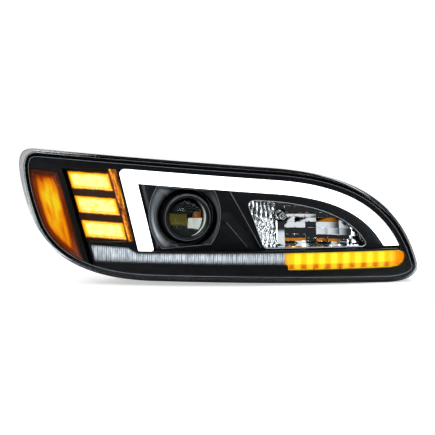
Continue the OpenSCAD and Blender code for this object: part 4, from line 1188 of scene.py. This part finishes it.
class HEADLIGHT_OT_high_beam(bpy.types.Operator):
    """Waved and paned high-beam reflector, and the metalwork of its bulb"""
    bl_idname = "headlight.high_beam"
    bl_label = "High beam"

    def execute(self, context):
        bowl, apex, front, neck = 165.0, -105.0, -172.0, -88.5
        wave, pane, wave_h = sizes().wave / MM, sizes().pane / MM, 2.2
        left, right, socket_r, groove = 103.0, 115.5, 11.3, 0.15
        rows = np.array([-60.0, -41.5, -36.5, -30.0, -19.0, -9.0, -2.0, 4.2, 6.4, 18.0, 60.0])
        columns = np.arange(right, 260.0, pane)
        bright_nod, dim_nod = 0.215, 0.04

        def base(p):
            return apex - bowl + np.sqrt(bowl ** 2 - (p[:, 0] - HIGH[0]) ** 2 - (p[:, 1] - HIGH[1]) ** 2)

        def cell(p):
            col = np.clip(np.searchsorted(columns, p[:, 0], side="right") - 1, 0, len(columns) - 1)
            row = np.clip(np.searchsorted(rows, p[:, 1], side="right") - 1, 0, len(rows) - 2)
            return row, col

        def nods(row, col):
            # The middle rows and the inboard panes look at the white sweep, the others at the dim room
            dark_pair = (row == 6) & np.isin(col, (3, 4))
            lit = (row > 3) & (row < 7) & ~dark_pair & ((row > 4) | (col != 2)) | (row == 3) & (col > 2)
            lit |= (row == 0) & (col % 3 == 1) | (row == 1) & (col != 2)
            return np.where(lit, bright_nod, dim_nod) + 0.015 * np.sin(7.3 * row + 3.1 * col)

        def place(p):
            x, z = p[:, 0], p[:, 1]
            bend = x + 2.2 * np.sin(z / 8.5) + 1.2 * np.sin(z / 3.7 + x / 9)
            waved = base(p) - wave_h * np.clip((left - x) / 6.0, 0, 1) * np.abs(np.sin(np.pi * bend / wave))
            row, col = cell(p)
            mid = np.column_stack([columns[col] + pane / 2,
                                   np.clip((rows[row] + rows[row + 1]) / 2, -41, 28)])
            slope = (HIGH[0] - mid[:, 0]) / np.sqrt(bowl ** 2 - ((mid - HIGH) ** 2).sum(1))
            nod = nods(row, col)
            tilt = np.column_stack([slope + 0.06 * np.sin(5.1 * row + 2.3 * col),
                                    np.where(mid[:, 1] > 0, -0.75 * nod, nod)])
            paned = base(mid) + (tilt * (p - mid)).sum(1) - 0.012 * (x - mid[:, 0]) ** 2
            return np.where(x > right, paned, waved)

        rim, socket = inset(WINDOW, -2.0), circle(HIGH, socket_r, 48, -1)
        xs = np.unique(np.concatenate([np.arange(40, right, 1.1), np.arange(right, 240, 2.6),
                                       columns - groove, columns + groove]))
        zs = np.unique(np.concatenate([np.arange(-48, 38, 2.4), rows[1:-1] - groove, rows[1:-1] + groove]))
        flat, tris = fill(rim, [socket], 1.1, points=np.array([(x, z) for x in xs for z in zs]))
        mid = flat[tris].mean(1)
        row, col = cell(mid)
        # Panes tinted amber as a painted reflection of the lit strip and cells
        amber = (row == 1) & (col != 2) & (col < 5) | (row == 7) & (col < 3)
        amber |= (row == 5) & np.isin(col, (3, 4))
        shell = Shell()
        shell.add(at(flat, place(flat)), tris, amber & (mid[:, 0] > right))
        lip = ((-2.0, 1.0), (-2.5, 0.2), (-3.5, 0.2), (-4.0, 1.0))
        shell.strip([at(rim, place(rim)), *[at(inset(WINDOW, k), front + d) for k, d in lip]])
        shell.strip([at(socket, place(socket)), at(socket, neck)])
        mirror = surface("vacuum_metallised_thermoset")
        piece("high_beam_mirror", shell, CARRIER,
              [mirror, surface("vacuum_metallised_steps")], ["high_beam_reflector"], crease=28.0, wall=0.8)
        tip = Shell()
        tip.lathe(HIGH, [(0.0, -134.6), (2.6, -134.2), (4.7, -132.6), (5.8, -130.0), (5.95, -127.0),
                         (5.95, -123.5), (5.6, -123.3)], n=48)
        tip.lathe(HIGH, [(5.7, -104.5), (7.6, -103.6), (10.2, -99.5), (10.8, -94.4)], n=48)
        piece("high_bulb_metalwork", tip, HIGH_BULB, [mirror], wall=0.3)
        return {"FINISHED"}


class HEADLIGHT_OT_casing(bpy.types.Operator):
    """Finishes of the housing, its seal and its service caps"""
    bl_idname = "headlight.casing"
    bl_label = "Casing"

    def execute(self, context):
        for finish, share, names in (
                ("grained_polypropylene", 0.0, "housing back_plate low_port_collar high_port_collar"),
                ("grained_polypropylene", 0.0, "rear_posts pivot_posts"),
                ("grained_polypropylene", 1.0, "low_beam_cap high_beam_cap connector_header"),
                ("butyl_sealant", 0.0, "lens_seal")):
            carry(surface(finish), share, names)
        return {"FINISHED"}


class HEADLIGHT_OT_fittings(bpy.types.Operator):
    """Finishes of the rear fittings and fixings"""
    bl_idname = "headlight.fittings"
    bl_label = "Rear fittings"

    def execute(self, context):
        for finish, share, names in (
                ("die_cast_aluminium", 1.0, "led_driver"),
                ("zinc_plated_steel", 0.5, "driver_screws mounting_studs bezel_screws pivot_studs"),
                ("zinc_plated_steel", 0.5, "projector_screws reflector_screws"),
                ("moulded_epdm", 1.0, "vent_caps adjuster_grommet low_cap_seal high_cap_seal"),
                ("natural_nylon", 0.6, "pivot_sockets adjuster_nut adjuster_screw"),
                ("plated_brass", 0.3, "connector_pins")):
            carry(surface(finish), share, names)
        return {"FINISHED"}


class HEADLIGHT_OT_inner_works(bpy.types.Operator):
    """Finishes of the boards, the light sources and the aimed carrier"""
    bl_idname = "headlight.inner_works"
    bl_label = "Inner works"

    def execute(self, context):
        for finish, share, names in (
                ("solder_masked_board", 0.0, "running_light_board turn_board side_marker_board strip_board"),
                ("led_phosphor", 0.0, "running_light_leds turn_leds side_marker_leds strip_leds"),
                ("glass_filled_nylon", 0.0, "aim_frame"),
                ("shaded_bowl_mirror", 0.0, "projector_bowl"),
                ("black_anodised_aluminium", 0.0, "lens_holder"),
                ("vacuum_metallised_thermoset", 0.0, "side_marker_tray"),
                ("moulded_bulb_base", 0.6, "low_bulb_base high_bulb_base")):
            carry(surface(finish), share, names)
        # Fused quartz: clear, faintly warm
        carry(material("quartz_glass", glass, "#F4F2EA", 1.46, 1.0), 0.0, "low_bulb_glass high_bulb_glass")
        return {"FINISHED"}


class HEADLIGHT_OT_stage(bpy.types.Operator):
    """Camera, white floor and soft studio light"""
    bl_idname = "headlight.stage"
    bl_label = "Stage"

    def execute(self, context):
        scene = context.scene
        scene.view_settings.view_transform = "Standard"
        self.camera(scene)
        self.world(scene)
        target = Vector((0, -0.1, 0))
        for name, spot, size, power in (("key", (-1.1, -2.2, 1.6), (1.4, 0.8), 26.0),
                                        ("fill", (1.6, -2.0, 0.5), (0.7, 1.3), 13.0),
                                        ("top", (0.1, -0.3, 1.9), (2.2, 0.5), 16.0),
                                        ("rear", (0.4, 1.9, 1.2), (1.6, 0.9), 18.0),
                                        ("left", (-2.0, -0.6, 0.25), (0.4, 1.3), 12.0)):
            lamp = bpy.data.lights.new(name, "AREA")
            lamp.shape, lamp.energy = "RECTANGLE", power
            lamp.size, lamp.size_y = size
            obj = bpy.data.objects.new(name, lamp)
            obj.location = spot
            obj.rotation_euler = (target - Vector(spot)).to_track_quat("-Z", "Y").to_euler()
            scene.collection.objects.link(obj)
        mesh = bpy.data.meshes.new("floor")
        side, near, far, z = 1.3, -0.28, 1.2, CAD_BOX[0].z - 0.0006
        corners = [(-side, near, z), (side, near, z), (side, far, z), (-side, far, z)]
        mesh.from_pydata(corners, [], [(0, 1, 2, 3)])
        mesh.materials.append(material("white_floor_paint", floor_paint))
        floor = bpy.data.objects.new("floor", mesh)
        scene.collection.objects.link(floor)
        return {"FINISHED"}

    def camera(self, scene):
        """Camera at the viewing angle, with the focal length in pixels of a 435 pixel frame."""
        azimuth, height, away = math.radians(-10.0), math.radians(5.0), 2.8
        focal, frame_w = 1666.7, 435.0
        level = math.cos(height)
        back = Vector((math.sin(azimuth) * level, -math.cos(azimuth) * level, math.sin(height)))
        eye = bpy.data.cameras.new("camera")
        eye.lens = 36.0 * focal / frame_w
        camera = bpy.data.objects.new("camera", eye)
        camera.location = Vector((0.0, -0.11, 0.0)) + back * away
        camera.rotation_euler = (-back).to_track_quat("-Z", "Y").to_euler()
        scene.collection.objects.link(camera)
        scene.camera = camera

    def world(self, scene):
        """White to the eye. Mirrors see it behind, above and below the lamp, and a dim room in front."""
        world = bpy.data.worlds.new("studio")
        world.use_nodes = True
        world.node_tree.nodes.clear()
        put = functools.partial(add, world.node_tree)
        path = put("LightPath").node.outputs
        sky = put("TexCoord", out="Generated")
        way = put("SeparateXYZ", {"Vector": sky}).node.outputs
        room, plain = 0.03, 0.45
        sweep = room
        for axis, near, far in (("Y", -0.1, 0.2), ("Z", 0.18, 0.27), ("Z", -0.3, -0.4)):
            part = put("MapRange", {"Value": way[axis], "From Min": near, "From Max": far}, **SMOOTH)
            sweep = put("Math", {0: part, 1: sweep}, **GREATER)
        seen = put("Math", {0: path["Is Glossy Ray"], 1: path["Is Transmission Ray"]}, **GREATER)
        level = put("Mix", {0: seen, 2: plain, 3: sweep}, data_type="FLOAT")
        level = put("Mix", {0: path["Is Camera Ray"], 2: level, 3: 1.0}, data_type="FLOAT")
        glow = put("Background", {"Color": "#FFFFFF", "Strength": level})
        put("OutputWorld", {"Surface": glow})
        scene.world = world


STEPS = (HEADLIGHT_OT_stage, HEADLIGHT_OT_casing, HEADLIGHT_OT_fittings, HEADLIGHT_OT_inner_works,
         HEADLIGHT_OT_outer_lens, HEADLIGHT_OT_bezel, HEADLIGHT_OT_beam_mask, HEADLIGHT_OT_projector,
         HEADLIGHT_OT_cutoff_shield, HEADLIGHT_OT_running_light, HEADLIGHT_OT_turn_signal,
         HEADLIGHT_OT_side_marker, HEADLIGHT_OT_turn_strip, HEADLIGHT_OT_high_beam)


class HEADLIGHT_PT_panel(bpy.types.Panel):
    """Lists the headlight's pieces and their settings"""
    bl_idname = "HEADLIGHT_PT_panel"
    bl_label = "Headlight"
    bl_space_type = "VIEW_3D"
    bl_region_type = "UI"
    bl_category = "Headlight"

    def draw(self, context):
        for group in (context.scene.headlight_sizes, context.scene.headlight_colours):
            box = self.layout.box()
            for key in group.bl_rna.properties.keys():
                if key not in ("rna_type", "name"):
                    box.prop(group, key)
        for step in STEPS:
            self.layout.operator(step.bl_idname)


CLASSES = (HeadlightSizes, HeadlightColours, *STEPS, HEADLIGHT_PT_panel)


def register():
    for cls in CLASSES:
        bpy.utils.register_class(cls)
    bpy.types.Scene.headlight_sizes = PointerProperty(type=HeadlightSizes)
    bpy.types.Scene.headlight_colours = PointerProperty(type=HeadlightColours)


def unregister():
    del bpy.types.Scene.headlight_colours
    del bpy.types.Scene.headlight_sizes
    for cls in reversed(CLASSES):
        bpy.utils.unregister_class(cls)


def main():
    register()
    for step in STEPS:
        group, name = step.bl_idname.split(".")
        getattr(getattr(bpy.ops, group), name)()


if __name__ == "__main__":
    main()
